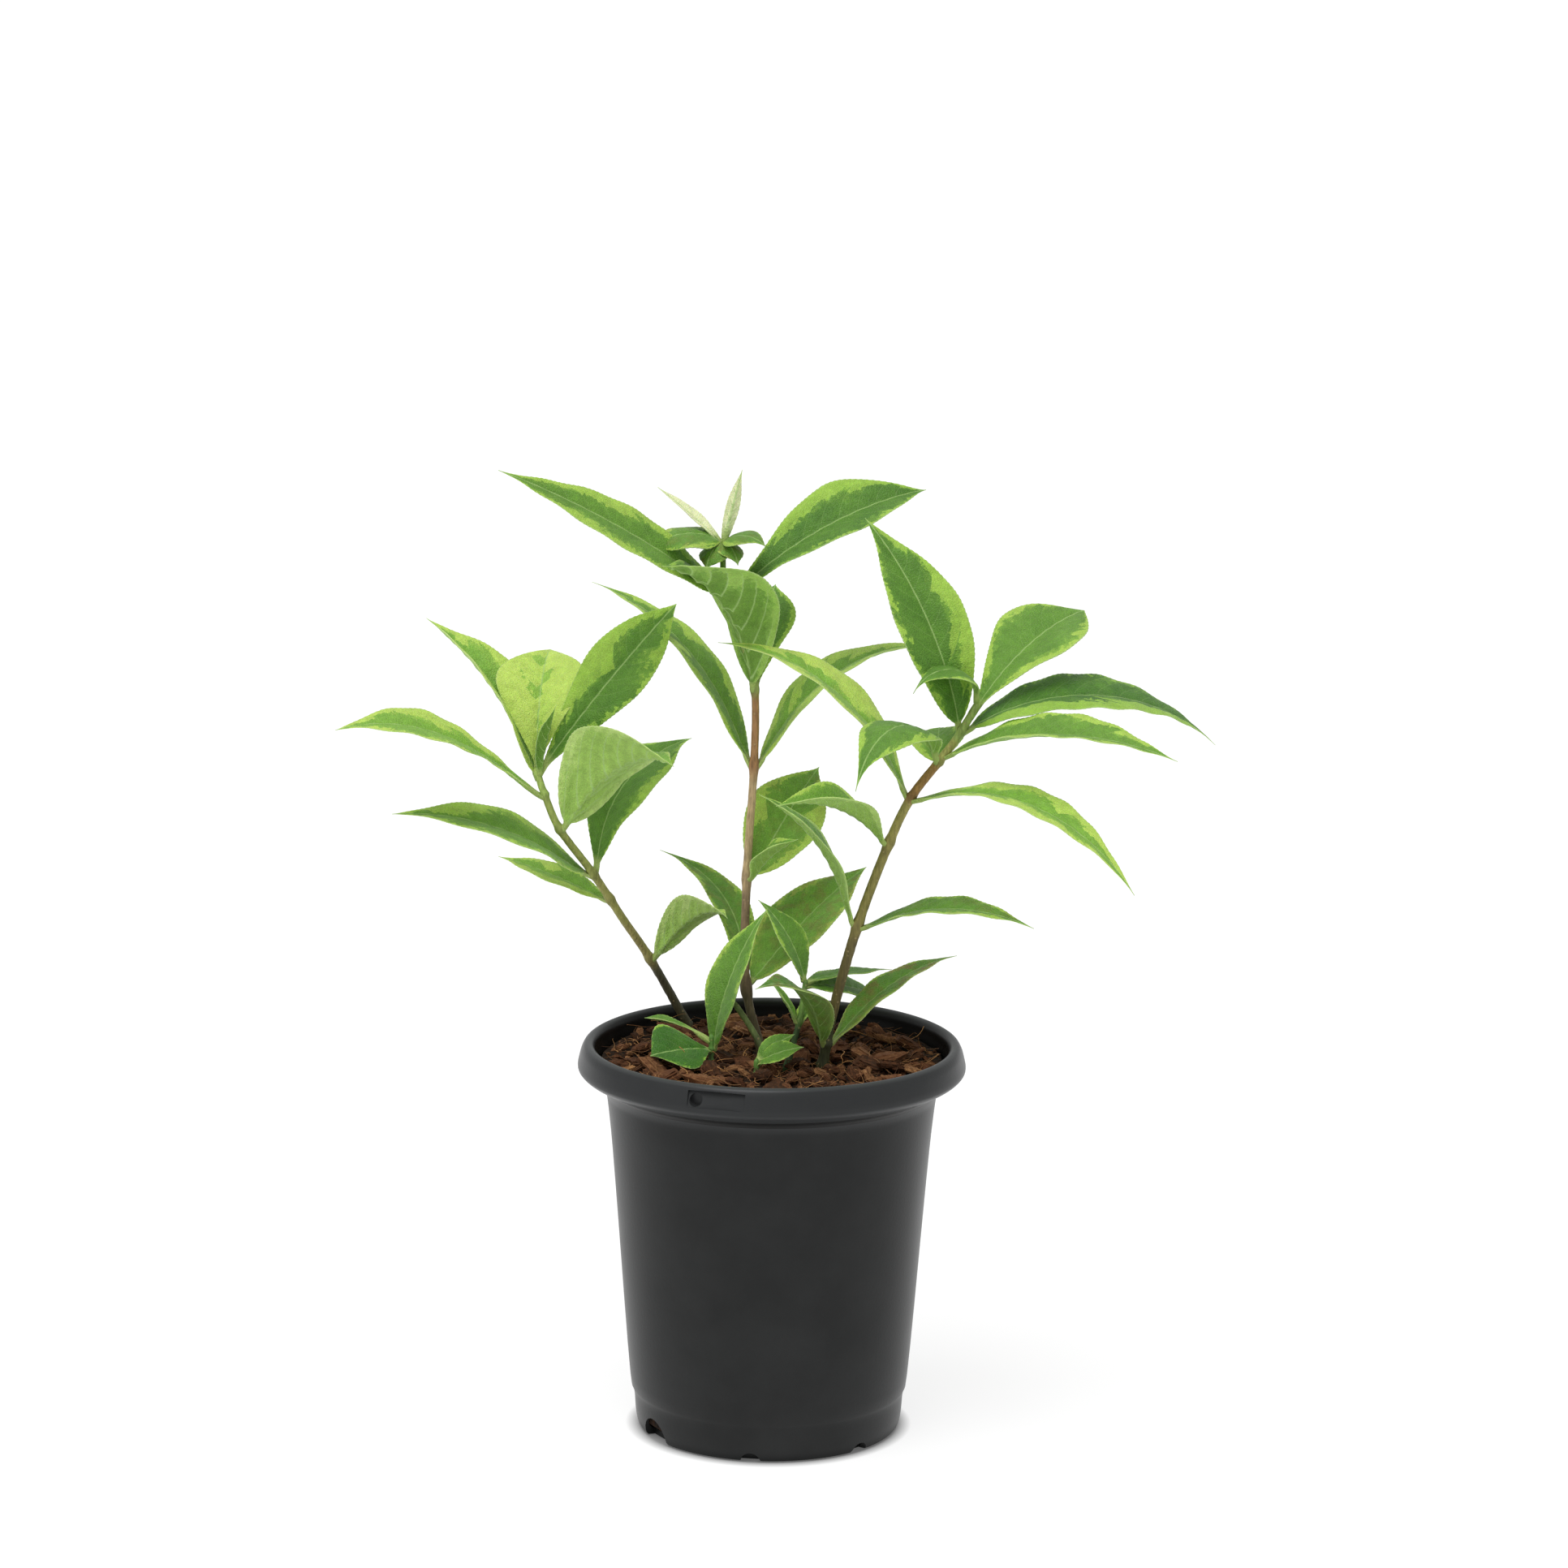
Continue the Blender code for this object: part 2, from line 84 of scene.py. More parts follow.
def new_material(name, roughness, **sockets):
    """A Principled material, its node tree and its shader."""
    made = bpy.data.materials.new(name)
    made.use_nodes = True
    shader = made.node_tree.nodes["Principled BSDF"]
    shader.inputs["Roughness"].default_value = roughness
    for key, value in sockets.items():
        shader.inputs[key.replace("_", " ")].default_value = value
    return made, made.node_tree, shader


def ranged(value, low, high, to_low=0.0, to_high=1.0):
    """A value brought from one range to another and held inside it, in the material at hand."""
    return node(tree, "ShaderNodeMapRange", {"Value": value, "From Min": low, "From Max": high,
                                             "To Min": to_low, "To Max": to_high}).outputs[0]


def place(name, data):
    """Links a mesh, a lamp or a camera to the scene as a named object at the origin."""
    made = bpy.data.objects.new(name, data)
    bpy.context.scene.collection.objects.link(made)
    return made


world = bpy.data.worlds.new("white_studio")
world.use_nodes = True
world.node_tree.nodes["Background"].inputs["Color"].default_value = linear("ffffff")
world.node_tree.nodes["Background"].inputs["Strength"].default_value = 0.62
bpy.context.scene.world = world
bpy.context.scene.view_settings.view_transform = "Standard"

soft_box = bpy.data.lights.new("overhead_soft_box", "SUN")
soft_box.energy = 1.75
soft_box.angle = math.radians(36.0)
lamp = place("overhead_soft_box", soft_box)
lamp.location = (-0.35, -0.6, 1.7)
lamp.rotation_euler = (-lamp.location).to_track_quat("-Z", "Y").to_euler()

camera_data = bpy.data.cameras.new("catalogue_view")
camera_data.sensor_width = 36.0
camera_data.lens = 120.9
camera = place("catalogue_view", camera_data)
bpy.context.scene.camera = camera
look_down = Matrix.Rotation(math.radians(90.0 - 11.5), 4, "X")
lean = Matrix.Rotation(math.radians(0.6), 4, "Z")
camera.matrix_world = Matrix.Translation((0.0031, -1.710, 0.5688)) @ look_down @ lean

floor_mesh = bpy.data.meshes.new("floor")
floor_mesh.from_pydata([(-6, -6, 0), (6, -6, 0), (6, 14, 0), (-6, 14, 0)], [], [(0, 1, 2, 3)])
floor = place("floor", floor_mesh)
floor_paint, tree, shader = new_material("lit_white_floor", 0.9, Specular_IOR_Level=0.0)
shader.inputs["Base Color"].default_value = linear("8e8e8e")
shader.inputs["Emission Color"].default_value = linear("ffffff")
here = node(tree, "ShaderNodeTexCoord").outputs["Object"]
away = node(tree, "ShaderNodeVectorMath", {0: here}, operation="LENGTH").outputs["Value"]
# The floor gives off an even light of its own. Near the pot's axis that light is dimmed, as a painted
# contact shadow under the foot.
tree.links.new(ranged(away, 0.0435, 0.0485, 0.1, 0.78), shader.inputs["Emission Strength"])
floor_mesh.materials.append(floor_paint)


# Pot
# A 13 cm nursery container, injection moulded in black recycled polypropylene. The rim is rolled
# over, the wall tapers to a stepped foot, and the foot has drain holes round its edge.

POT_HEIGHT = 133.0
RIM_RADIUS = 65.0
MOUTH_RADIUS = 59.0
NECK_RADIUS = 55.1
NECK_HEIGHT = 114.8
SHOULDER_RADIUS = 53.2
SHOULDER_HEIGHT = 97.0
FOOT_RADIUS = 46.9
FOOT_HEIGHT = 15.2
BASE_RADIUS = 45.4
CONTACT_RADIUS = 43.0
WALL = 1.4
DRAIN_COUNT = 7
DRAIN_FIRST = -59.0
POT_STEPS = 144


def softened(points):
    """An open outline with its corners cut off twice. Its two ends stay."""
    for _ in range(2):
        cut = [points[0]]
        for a, b in zip(points, points[1:]):
            cut.append((0.8 * a[0] + 0.2 * b[0], 0.8 * a[1] + 0.2 * b[1]))
            cut.append((0.2 * a[0] + 0.8 * b[0], 0.2 * a[1] + 0.8 * b[1]))
        points = cut + [points[-1]]
    return points


def settle(obj):
    """Makes what the modifiers give the object's own plain mesh."""
    mesh = bpy.data.meshes.new_from_object(obj.evaluated_get(bpy.context.evaluated_depsgraph_get()))
    obj.modifiers.clear()
    obj.data = mesh
    return obj


def turned(name, outline, steps):
    """A solid of revolution from (radius, height) points, both ends on the axis."""
    mesh = bpy.data.meshes.new(name)
    mesh.from_pydata([(r * MM, 0.0, z * MM) for r, z in outline],
                     [(i, i + 1) for i in range(len(outline) - 1)], [])
    obj = place(name, mesh)
    screw = obj.modifiers.new("turn", "SCREW")
    screw.steps = steps
    screw.render_steps = steps
    screw.use_merge_vertices = True
    screw.merge_threshold = 0.00001
    return settle(obj)


inner_wall = [(0.0, WALL + 0.2), (CONTACT_RADIUS - 2.0, WALL + 0.2), (BASE_RADIUS - WALL, 4.5),
              (BASE_RADIUS - WALL, FOOT_HEIGHT - 3.0), (FOOT_RADIUS - WALL, FOOT_HEIGHT),
              (NECK_RADIUS - WALL, NECK_HEIGHT), (MOUTH_RADIUS - 1.8, NECK_HEIGHT + 6.6)]
rolled_rim = [(MOUTH_RADIUS, POT_HEIGHT - 4.5), (MOUTH_RADIUS + 0.2, POT_HEIGHT - 2.0),
              (MOUTH_RADIUS + 1.1, POT_HEIGHT - 0.5), (MOUTH_RADIUS + 2.4, POT_HEIGHT),
              (RIM_RADIUS - 2.2, POT_HEIGHT - 0.7), (RIM_RADIUS - 1.2, POT_HEIGHT - 2.6),
              (RIM_RADIUS - 0.6, POT_HEIGHT - 4.8), (RIM_RADIUS, POT_HEIGHT - 7.4),
              (RIM_RADIUS - 0.1, POT_HEIGHT - 8.8), (RIM_RADIUS - 1.1, POT_HEIGHT - 10.0),
              (RIM_RADIUS - 2.5, POT_HEIGHT - 11.0), (RIM_RADIUS - 4.6, POT_HEIGHT - 12.1),
              (RIM_RADIUS - 7.0, POT_HEIGHT - 13.2), (NECK_RADIUS + 1.6, POT_HEIGHT - 14.6),
              (NECK_RADIUS + 0.7, POT_HEIGHT - 16.4)]
outer_wall = [(NECK_RADIUS, NECK_HEIGHT), (SHOULDER_RADIUS, SHOULDER_HEIGHT),
              (FOOT_RADIUS, FOOT_HEIGHT), (BASE_RADIUS + 0.1, FOOT_HEIGHT - 3.0),
              (BASE_RADIUS - 0.4, 4.6), (BASE_RADIUS - 1.1, 1.4), (CONTACT_RADIUS, 0.0)]
pot = turned("nursery_pot", softened(inner_wall + rolled_rim + outer_wall + [(0.0, 0.0)]), POT_STEPS)


def outward(degrees):
    """The level direction at this angle from the front, positive to the right."""
    return Vector((math.sin(math.radians(degrees)), -math.cos(math.radians(degrees)), 0.0))


def cutter(name, form, way, radius, height):
    """A shape made along X, Y and Z, turned so that its Z points this way and set at that place."""
    turn = way.to_track_quat("Z", "Y").to_matrix().to_4x4()
    bmesh.ops.transform(form, verts=form.verts,
                        matrix=Matrix.Translation((way * radius + Vector((0, 0, height))) * MM) @ turn)
    mesh = bpy.data.meshes.new(name)
    form.to_mesh(mesh)
    form.free()
    obj = place(name, mesh)
    holes.objects.link(obj)
    bpy.context.scene.collection.objects.unlink(obj)


holes = bpy.data.collections.new("pot_holes")
for index in range(DRAIN_COUNT):
    drain = bmesh.new()
    wide, high = (6.8, 1.2) if index % 4 == 0 else (3.4, 0.0)
    bmesh.ops.create_cone(drain, cap_ends=True, segments=40, radius1=wide * MM, radius2=wide * MM,
                          depth=12.0 * MM)
    cutter("drain_%d" % (index + 1), drain, outward(DRAIN_FIRST + index * 360.0 / DRAIN_COUNT),
           BASE_RADIUS + 1.0, high)

# A shallow recess in the rim for a label, with a round eye at its left end
recess = bmesh.new()
bmesh.ops.create_cube(recess, size=1.0)
bmesh.ops.scale(recess, verts=recess.verts, vec=(19.4 * MM, 5.6 * MM, 4.0 * MM))
bmesh.ops.rotate(recess, verts=recess.verts, matrix=Matrix.Rotation(math.radians(-27.0), 3, "X"))
cutter("tag_recess", recess, outward(-16.3), RIM_RADIUS - 0.2, POT_HEIGHT - 4.0)
eye = bmesh.new()
bmesh.ops.create_cone(eye, cap_ends=True, segments=24, radius1=2.2 * MM, radius2=2.2 * MM, depth=6.0 * MM)
cutter("tag_eye", eye, outward(-22.6), RIM_RADIUS - 0.4, POT_HEIGHT - 4.9)
cut = pot.modifiers.new("holes", "BOOLEAN")
cut.operation = "DIFFERENCE"
cut.operand_type = "COLLECTION"
cut.collection = holes
cut.solver = "EXACT"
settle(pot)
for hole in list(holes.objects):
    bpy.data.objects.remove(hole, do_unlink=True)
bpy.data.collections.remove(holes)
pot.data.shade_smooth()
pot.data.set_sharp_from_angle(angle=math.radians(40.0))


def maths(operation, *values, **settings):
    """A math node's output, from sockets and numbers, in the material at hand."""
    return node(tree, "ShaderNodeMath", dict(enumerate(values)), operation=operation, **settings).outputs[0]


def mottled(vector, scale, detail, roughness=0.5):
    """A noise texture's value."""
    return node(tree, "ShaderNodeTexNoise", {"Vector": vector, "Scale": scale, "Detail": detail,
                                             "Roughness": roughness}).outputs["Fac"]


def graded(value, *stops):
    """A colour from a ramp of stops, each a position and a six-digit code."""
    ramp = node(tree, "ShaderNodeValToRGB", {"Fac": value})
    elements = ramp.color_ramp.elements
    for element, (position, code) in zip(elements, (stops[0], stops[-1])):
        element.position = position
        element.color = linear(code)
    for position, code in stops[1:-1]:
        elements.new(position).color = linear(code)
    return ramp.outputs["Color"]


def paint(share, under_coat, over_coat, blend="MIX"):
    """One colour laid over another. A colour is a six-digit code or a socket."""
    coats = [linear(c) if isinstance(c, str) else c for c in (under_coat, over_coat)]
    return node(tree, "ShaderNodeMix", {0: share, 6: coats[0], 7: coats[1]}, data_type="RGBA",
                blend_type=blend).outputs[2]


def relief(height, strength, distance):
    """Gives the material at hand a bump."""
    bump = node(tree, "ShaderNodeBump", {"Height": height, "Strength": strength, "Distance": distance})
    tree.links.new(bump.outputs["Normal"], shader.inputs["Normal"])


# Carbon-black polypropylene, dull and mottled. The rim is painted paler and the top of its lip paler still,
# as painted highlights, and the inside wall above the bark is painted near black, as painted shade.
pot_plastic, tree, shader = new_material("black_polypropylene", 0.35, Specular_IOR_Level=0.18)
where = node(tree, "ShaderNodeTexCoord").outputs["Object"]
cloud = mottled(where, 38.0, 5.0, 0.6)
spot = node(tree, "ShaderNodeSeparateXYZ", {0: where}).outputs
level = node(tree, "ShaderNodeCombineXYZ", {"X": spot["X"], "Y": spot["Y"]})
far = node(tree, "ShaderNodeVectorMath", {0: level.outputs[0]}, operation="LENGTH").outputs["Value"]
# Inside the mouth, above the bark: painted shade that darkens the inner wall to near black.
painted_inner_shade = maths("MULTIPLY", ranged(far, 0.0604, 0.0592), maths("GREATER_THAN", spot["Z"], 0.118))
skin = graded(cloud, (0.35, "1d1e1e"), (0.75, "262727"))
# The whole rim is painted paler, as light falling on it.
skin = paint(ranged(spot["Z"], 0.1155, 0.1185, 0.0, 0.2), skin, "4c4e50")
skin = paint(painted_inner_shade, skin, "0c0c0b")
# The top of the lip is painted paler still, as a painted highlight.
skin = paint(ranged(spot["Z"], 0.1318, 0.1329, 0.0, 0.6), skin, "4c4e50")
tree.links.new(skin, shader.inputs["Base Color"])
tree.links.new(ranged(cloud, 0.0, 1.0, 0.28, 0.4), shader.inputs["Roughness"])
relief(mottled(where, 900.0, 2.0), 0.12, 0.0002)
pot.data.materials.clear()
pot.data.materials.append(pot_plastic)
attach(pot, "root")
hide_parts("pot")


# Potting bark
# A filling of dark composted bark that follows the pot's inside. Its top is lumpy, and chips, crumbs
# and torn fibres of pine bark lie on it.

BARK_TOP = 127.0
GAP = 0.3
BREAKS_SEED = 11
noise.seed_set(BREAKS_SEED)
wall_gap = WALL + 2.0 * GAP
bark_rings = [(r, BARK_TOP) for r in np.linspace(0.0, MOUTH_RADIUS - 2.0, 48)]
bark_side = [(MOUTH_RADIUS - 1.6, BARK_TOP - 2.0), (MOUTH_RADIUS - 2.4, NECK_HEIGHT + 6.6),
             (NECK_RADIUS - wall_gap, NECK_HEIGHT), (FOOT_RADIUS - wall_gap, FOOT_HEIGHT),
             (BASE_RADIUS - wall_gap, FOOT_HEIGHT - 3.0), (BASE_RADIUS - wall_gap, 4.5),
             (CONTACT_RADIUS - 3.0, WALL + 0.5), (0.0, WALL + 0.5)]
bark = turned("composted_bark", bark_rings + bark_side, 120)
for vert in bark.data.vertices:
    spot = vert.co / MM
    if abs(spot.z - BARK_TOP) > 0.01:
        continue
    inside = min(1.0, (MOUTH_RADIUS - spot.xy.length) / 8.0)
    lump = 1.6 * noise.noise(Vector((spot.x, spot.y, 3.0)) / 9.0)
    crumb = 0.9 * noise.noise(Vector((spot.x, spot.y, 8.0)) / 2.4)
    vert.co.z += (lump + crumb - 0.8) * inside * MM
bark.data.shade_smooth()


def grained(name, form):
    """The mesh of a chip or fibre, which keeps each point's place in it for the streaks."""
    mesh = bpy.data.meshes.new(name)
    grain = [tuple(v.co) for v in form.verts]
    bmesh.ops.scale(form, verts=form.verts, vec=(MM, MM, MM))
    form.to_mesh(mesh)
    form.free()
    held = mesh.attributes.new("grain", "FLOAT_VECTOR", "POINT")
    held.data.foreach_set("vector", np.array(grain).ravel())
    return mesh


def chip_mesh(name, long, broad, thick, seed, sides):
    """A broken flake of bark: thin layers with straight broken sides that step in towards the top."""
    form = bmesh.new()
    corners = []
    for k in range(sides):
        angle = math.tau * (k + 0.45 * noise.noise(Vector((seed, 1.7 * k, 0.0)))) / sides
        reach = 0.5 * (0.82 + 0.34 * noise.noise(Vector((seed, 2.9 * k, 5.0))))
        corners.append(Vector((long * reach * math.cos(angle), broad * reach * math.sin(angle), 0.0)))
    outline = []
    for a, b in zip(corners, corners[1:] + corners[:1]):
        for t in (0.0, 0.36, 0.7):
            jag = noise.noise_vector(a * 0.9 + b * 0.7 + Vector((seed, 9.0 * t, 0.0)))
            outline.append(a.lerp(b, t) + Vector((jag.x, jag.y, 0.0)) * 0.09 * broad)
    last = []
    for height, grown in ((-0.5, 0.78), (-0.3, 1.0), (0.02, 0.97), (0.06, 0.84), (0.3, 0.82), (0.34, 0.62),
                          (0.5, 0.55)):
        slip = noise.noise(Vector((seed, 3.0 * height, 2.0))) * 0.12 * long
        ring = []
        for number, spot in enumerate(outline):
            chipped = noise.noise(Vector((seed + 0.8 * number, 6.0 * height, 1.0)))
            z = height * thick * (1.0 + 0.3 * chipped) + 0.05 * long * math.sin(4.0 * spot.x / long + seed)
            ring.append(form.verts.new((spot.x * (grown + 0.06 * chipped) + slip, spot.y * grown, z)))
        if last:
            for k in range(len(ring)):
                after = (k + 1) % len(ring)
                form.faces.new((last[k], last[after], ring[after], ring[k]))
        else:
            form.faces.new(ring[::-1])
        last = ring
    form.faces.new(last)
    bmesh.ops.triangulate(form, faces=form.faces)
    return grained(name, form)


def scattered(name, ground, kinds, reach, spacing, density, lift, tilt, sizes, seed):
    """Geometry Nodes: chips dealt over the top of the ground, each turned, tipped and sized anew."""
    stock = bpy.data.collections.new(name + "_kinds")
    for kind in kinds:
        stock.objects.link(bpy.data.objects.new(kind.name, kind))
    tree = bpy.data.node_groups.new(name, "GeometryNodeTree")
    tree.interface.new_socket("Ground", in_out="INPUT", socket_type="NodeSocketGeometry")
    for label in ("Reach", "Spacing", "Density", "Lift", "Tilt", "Smallest", "Largest"):
        tree.interface.new_socket(label, in_out="INPUT", socket_type="NodeSocketFloat")
    tree.interface.new_socket("Chips", in_out="OUTPUT", socket_type="NodeSocketGeometry")
    given = node(tree, "NodeGroupInput").outputs
    spot = node(tree, "ShaderNodeSeparateXYZ", {0: node(tree, "GeometryNodeInputPosition").outputs[0]})
    level = node(tree, "ShaderNodeCombineXYZ", {"X": spot.outputs["X"], "Y": spot.outputs["Y"]})
    far = node(tree, "ShaderNodeVectorMath", {0: level.outputs[0]}, operation="LENGTH")
    within = node(tree, "ShaderNodeMath", {0: far.outputs["Value"], 1: given["Reach"]},
                  operation="LESS_THAN")
    high = node(tree, "ShaderNodeMath", {0: spot.outputs["Z"], 1: (BARK_TOP - 5.0) * MM},
                operation="GREATER_THAN")
    chosen = node(tree, "ShaderNodeMath", {0: within.outputs[0], 1: high.outputs[0]}, operation="MULTIPLY")
    dealt = node(tree, "GeometryNodeDistributePointsOnFaces",
                 {"Mesh": given["Ground"], "Distance Min": given["Spacing"], "Density Max": given["Density"],
                  "Density Factor": chosen.outputs[0], "Seed": seed}, distribute_method="POISSON")
    rise = node(tree, "ShaderNodeCombineXYZ", {"Z": given["Lift"]})
    lifted = node(tree, "GeometryNodeSetPosition",
                  {"Geometry": dealt.outputs["Points"], "Offset": rise.outputs[0]})
    low = node(tree, "ShaderNodeMath", {0: given["Tilt"], 1: -1.0}, operation="MULTIPLY")
    least = node(tree, "ShaderNodeCombineXYZ", {"X": low.outputs[0], "Y": low.outputs[0], "Z": 0.0})
    most = node(tree, "ShaderNodeCombineXYZ", {"X": given["Tilt"], "Y": given["Tilt"], "Z": math.tau})
    turn = node(tree, "FunctionNodeRandomValue",
                {0: least.outputs[0], 1: most.outputs[0], "Seed": seed + 1}, data_type="FLOAT_VECTOR")
    grow = node(tree, "FunctionNodeRandomValue",
                {2: given["Smallest"], 3: given["Largest"], "Seed": seed + 2}, data_type="FLOAT")
    held = node(tree, "GeometryNodeCollectionInfo",
                {"Collection": stock, "Separate Children": True, "Reset Children": True})
    laid = node(tree, "GeometryNodeInstanceOnPoints",
                {"Points": lifted.outputs[0], "Instance": held.outputs[0], "Pick Instance": True,
                 "Rotation": turn.outputs[0], "Scale": grow.outputs[1]})
    shade = node(tree, "FunctionNodeRandomValue", {2: 0.0, 3: 1.0, "Seed": seed + 3}, data_type="FLOAT")
    tinted = node(tree, "GeometryNodeStoreNamedAttribute",
                  {"Geometry": laid.outputs[0], "Name": "tint", "Value": shade.outputs[1]},
                  data_type="FLOAT", domain="INSTANCE")
    real = node(tree, "GeometryNodeRealizeInstances", {"Geometry": tinted.outputs[0]})
    coated = node(tree, "GeometryNodeSetMaterial", {"Geometry": real.outputs[0], "Material": pine_bark})
    out = node(tree, "NodeGroupOutput", {"Chips": coated.outputs[0]})
    out.is_active_output = True
    obj = place(name, ground.data)
    layer = obj.modifiers.new("scatter", "NODES")
    layer.node_group = tree
    values = {"Reach": reach * MM, "Spacing": spacing * MM, "Density": density, "Lift": lift * MM,
              "Tilt": math.radians(tilt), "Smallest": sizes[0], "Largest": sizes[1]}
    for item in tree.interface.items_tree:
        if item.name in values:
            layer[item.identifier] = values[item.name]
    settle(obj)
    for kind in list(stock.objects):
        bpy.data.objects.remove(kind, do_unlink=True)
    bpy.data.collections.remove(stock)
    return obj


# Pine bark: red-brown cork in thin layers, streaked along the chip, dry and without gloss
pine_bark, tree, shader = new_material("pine_bark", 0.88, Specular_IOR_Level=0.25)
streak_at = node(tree, "ShaderNodeAttribute", attribute_name="grain").outputs["Vector"]
tint = node(tree, "ShaderNodeAttribute", attribute_name="tint").outputs["Fac"]
drawn = node(tree, "ShaderNodeMapping", {"Vector": streak_at, "Scale": (0.25, 1.3, 1.3)})
shifted = node(tree, "ShaderNodeVectorMath", {0: drawn.outputs[0], 1: (7.0, 0.0, 3.0)}, operation="ADD")
streak = node(tree, "ShaderNodeTexNoise", {"Vector": shifted.outputs[0], "Scale": 1.0, "Detail": 6.0,
                                           "Roughness": 0.7, "Distortion": 0.4}).outputs["Fac"]
summed = maths("MULTIPLY_ADD", tint, 0.42, maths("MULTIPLY", streak, 0.75))
skin = graded(summed, (0.26, "22140b"), (0.42, "422815"), (0.56, "623c24"), (0.7, "785134"),
              (0.88, "a67a50"))
tree.links.new(skin, shader.inputs["Base Color"])
relief(streak, 0.9, 0.0006)

# Composted bark fines: near-black brown crumbs, lighter where a crumb is dry
fines, tree, shader = new_material("composted_bark_fines", 0.95, Specular_IOR_Level=0.2)
where = node(tree, "ShaderNodeTexCoord").outputs["Object"]
cells = node(tree, "ShaderNodeTexVoronoi", {"Vector": where, "Scale": 520.0}).outputs["Distance"]
blend = maths("MULTIPLY", cells, mottled(where, 160.0, 6.0, 0.7))
tree.links.new(graded(blend, (0.1, "0f0a07"), (0.5, "38220f")), shader.inputs["Base Color"])
relief(blend, 1.0, 0.0012)
bark.data.materials.clear()
bark.data.materials.append(fines)

broad_chips = [chip_mesh("broad_chip_%d" % i, 12.0 + i % 3 * 2.0, 7.5 + i % 2 * 1.5, 2.6,
                         3.7 * i + 1, 5 + i % 3) for i in range(6)]
long_chips = [chip_mesh("long_chip_%d" % i, 9.0, 3.6 + 0.4 * i, 1.8, 2.3 * i + 40, 5) for i in range(4)]
small_chips = [chip_mesh("crumb_%d" % i, 3.6, 2.4, 1.5, 5.1 * i + 80, 4) for i in range(3)]
chips = scattered("bark_chips", bark, broad_chips, 51.0, 6.4, 15000.0, 1.9, 26.0, (0.65, 1.25), 5)
slivers = scattered("bark_slivers", bark, long_chips, 54.0, 4.4, 30000.0, 1.2, 42.0, (0.55, 1.2), 21)
crumbs = scattered("bark_crumbs", bark, small_chips, 56.0, 2.8, 120000.0, 0.1, 60.0, (0.4, 1.2), 43)


def fibre_mesh(name, long, curl, seed):
    """A torn bast fibre: a thin curling strand of three sides."""
    form = bmesh.new()
    last = []
    steps = 9
    for i in range(steps + 1):
        t = i / steps
        x = (t - 0.5) * long
        y = curl * math.sin(2.4 * t + seed) + 0.5 * math.sin(9.0 * t + seed)
        z = 0.9 * curl * math.sin(3.1 * t + 2.0 * seed) * t
        radius = 0.16 * (1.0 - 0.7 * t)
        ring = [form.verts.new((x, y + radius * math.cos(a), z + radius * math.sin(a)))
                for a in (0.0, math.tau / 3, math.tau * 2 / 3)]
        if last:
            for k in range(3):
                form.faces.new((last[k], ring[k], ring[(k + 1) % 3], last[(k + 1) % 3]))
        else:
            form.faces.new(ring)
        last = ring
    form.faces.new(last[::-1])
    bmesh.ops.recalc_face_normals(form, faces=form.faces)
    mesh = grained(name, form)
    mesh.shade_smooth()
    return mesh


fibre_kinds = [fibre_mesh("fibre_%d" % i, 7.0 + 1.5 * i, 1.3 + 0.3 * i, 1.9 * i) for i in range(5)]
fibres = scattered("bark_fibres", bark, fibre_kinds, 54.0, 2.9, 60000.0, 2.4, 35.0, (0.5, 1.3), 77)

# Bast fibre: the stringy inner bark, paler and more orange than the cork
bast, tree, shader = new_material("pine_bast_fibre", 0.75)
tint = node(tree, "ShaderNodeAttribute", attribute_name="tint").outputs["Fac"]
tree.links.new(graded(tint, (0.0, "5c3a20"), (1.0, "c08a52")), shader.inputs["Base Color"])
fibres.data.materials.clear()
fibres.data.materials.append(bast)

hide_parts("potting_bark")
for litter in (bark, chips, slivers, crumbs, fibres):
    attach(litter, "root")


# Stems
# Young shoots of weigela: thin bark that is brown and furrowed at the foot, olive higher up and
# green at the tip, with a swollen node where each pair of leaves stands.

FOOT_Z = BARK_TOP + GAP
COLLAR_TUBE = 0.8
COLLAR_STEPS = 12
STEM_SIDES = 28
STEM_STRIDE = 0.6
BELOW_BARK = 5.0

LEFT_STEM = {
    "nodes": [(-29, 44, FOOT_Z), (-42, 38, 152), (-51, 32, 167), (-61, 26, 184), (-72, 18, 201),
              (-77, 17, 213), (-80, 17, 222)],
    "foot": 3.4, "tip": 2.6, "slim": 0.88, "swollen": [1, 2.45, 3, 4, 5],
    "colours": ["4d4a33", "a1985a", "9c9a55", "98a052", "9aa957", "a3bd60"]}
CENTRE_STEM = {
    "nodes": [(-3, 1, FOOT_Z), (-9, 4, 152), (-9, 10, 187), (-7, 14, 224), (-7, 15, 250),
              (-11, 14, 266), (-17, 12, 282), (-18, 12, 300)],
    "foot": 3.6, "tip": 2.2, "slim": 0.86, "swollen": [0.9, 1, 2, 3, 4, 6],
    "colours": ["655a40", "857052", "b9a077", "a67c50", "9cab5e", "93b05a", "88a850"]}
RIGHT_STEM = {
    "nodes": [(17, -8, FOOT_Z), (20, -9, 145), (28, -12, 176), (38, -12, 204), (45, -11, 219),
              (54, -10, 231), (60, -9, 239), (67, -8, 251)],
    "foot": 3.9, "tip": 2.8, "slim": 0.9, "swollen": [0.45, 2, 3, 4, 5, 6.2],
    "colours": ["464a2c", "6b6036", "948a4c", "99904e", "a07a44", "a3a458", "a3bb64"]}
FRONT_SHOOT = {
    "nodes": [(-20, -3, FOOT_Z), (-20, -3, 131), (-20, -3, 136)],
    "foot": 2.6, "tip": 2.2, "slim": 0.9, "swollen": [1], "colours": ["4d6a30", "5f8a3c"]}
BACK_SHOOT = {
    "nodes": [(5, -12, FOOT_Z), (9, -8, 142), (11, -4, 155)],
    "foot": 2.4, "tip": 1.8, "slim": 0.9, "swollen": [1, 2], "colours": ["3a5529", "6a8c40"]}
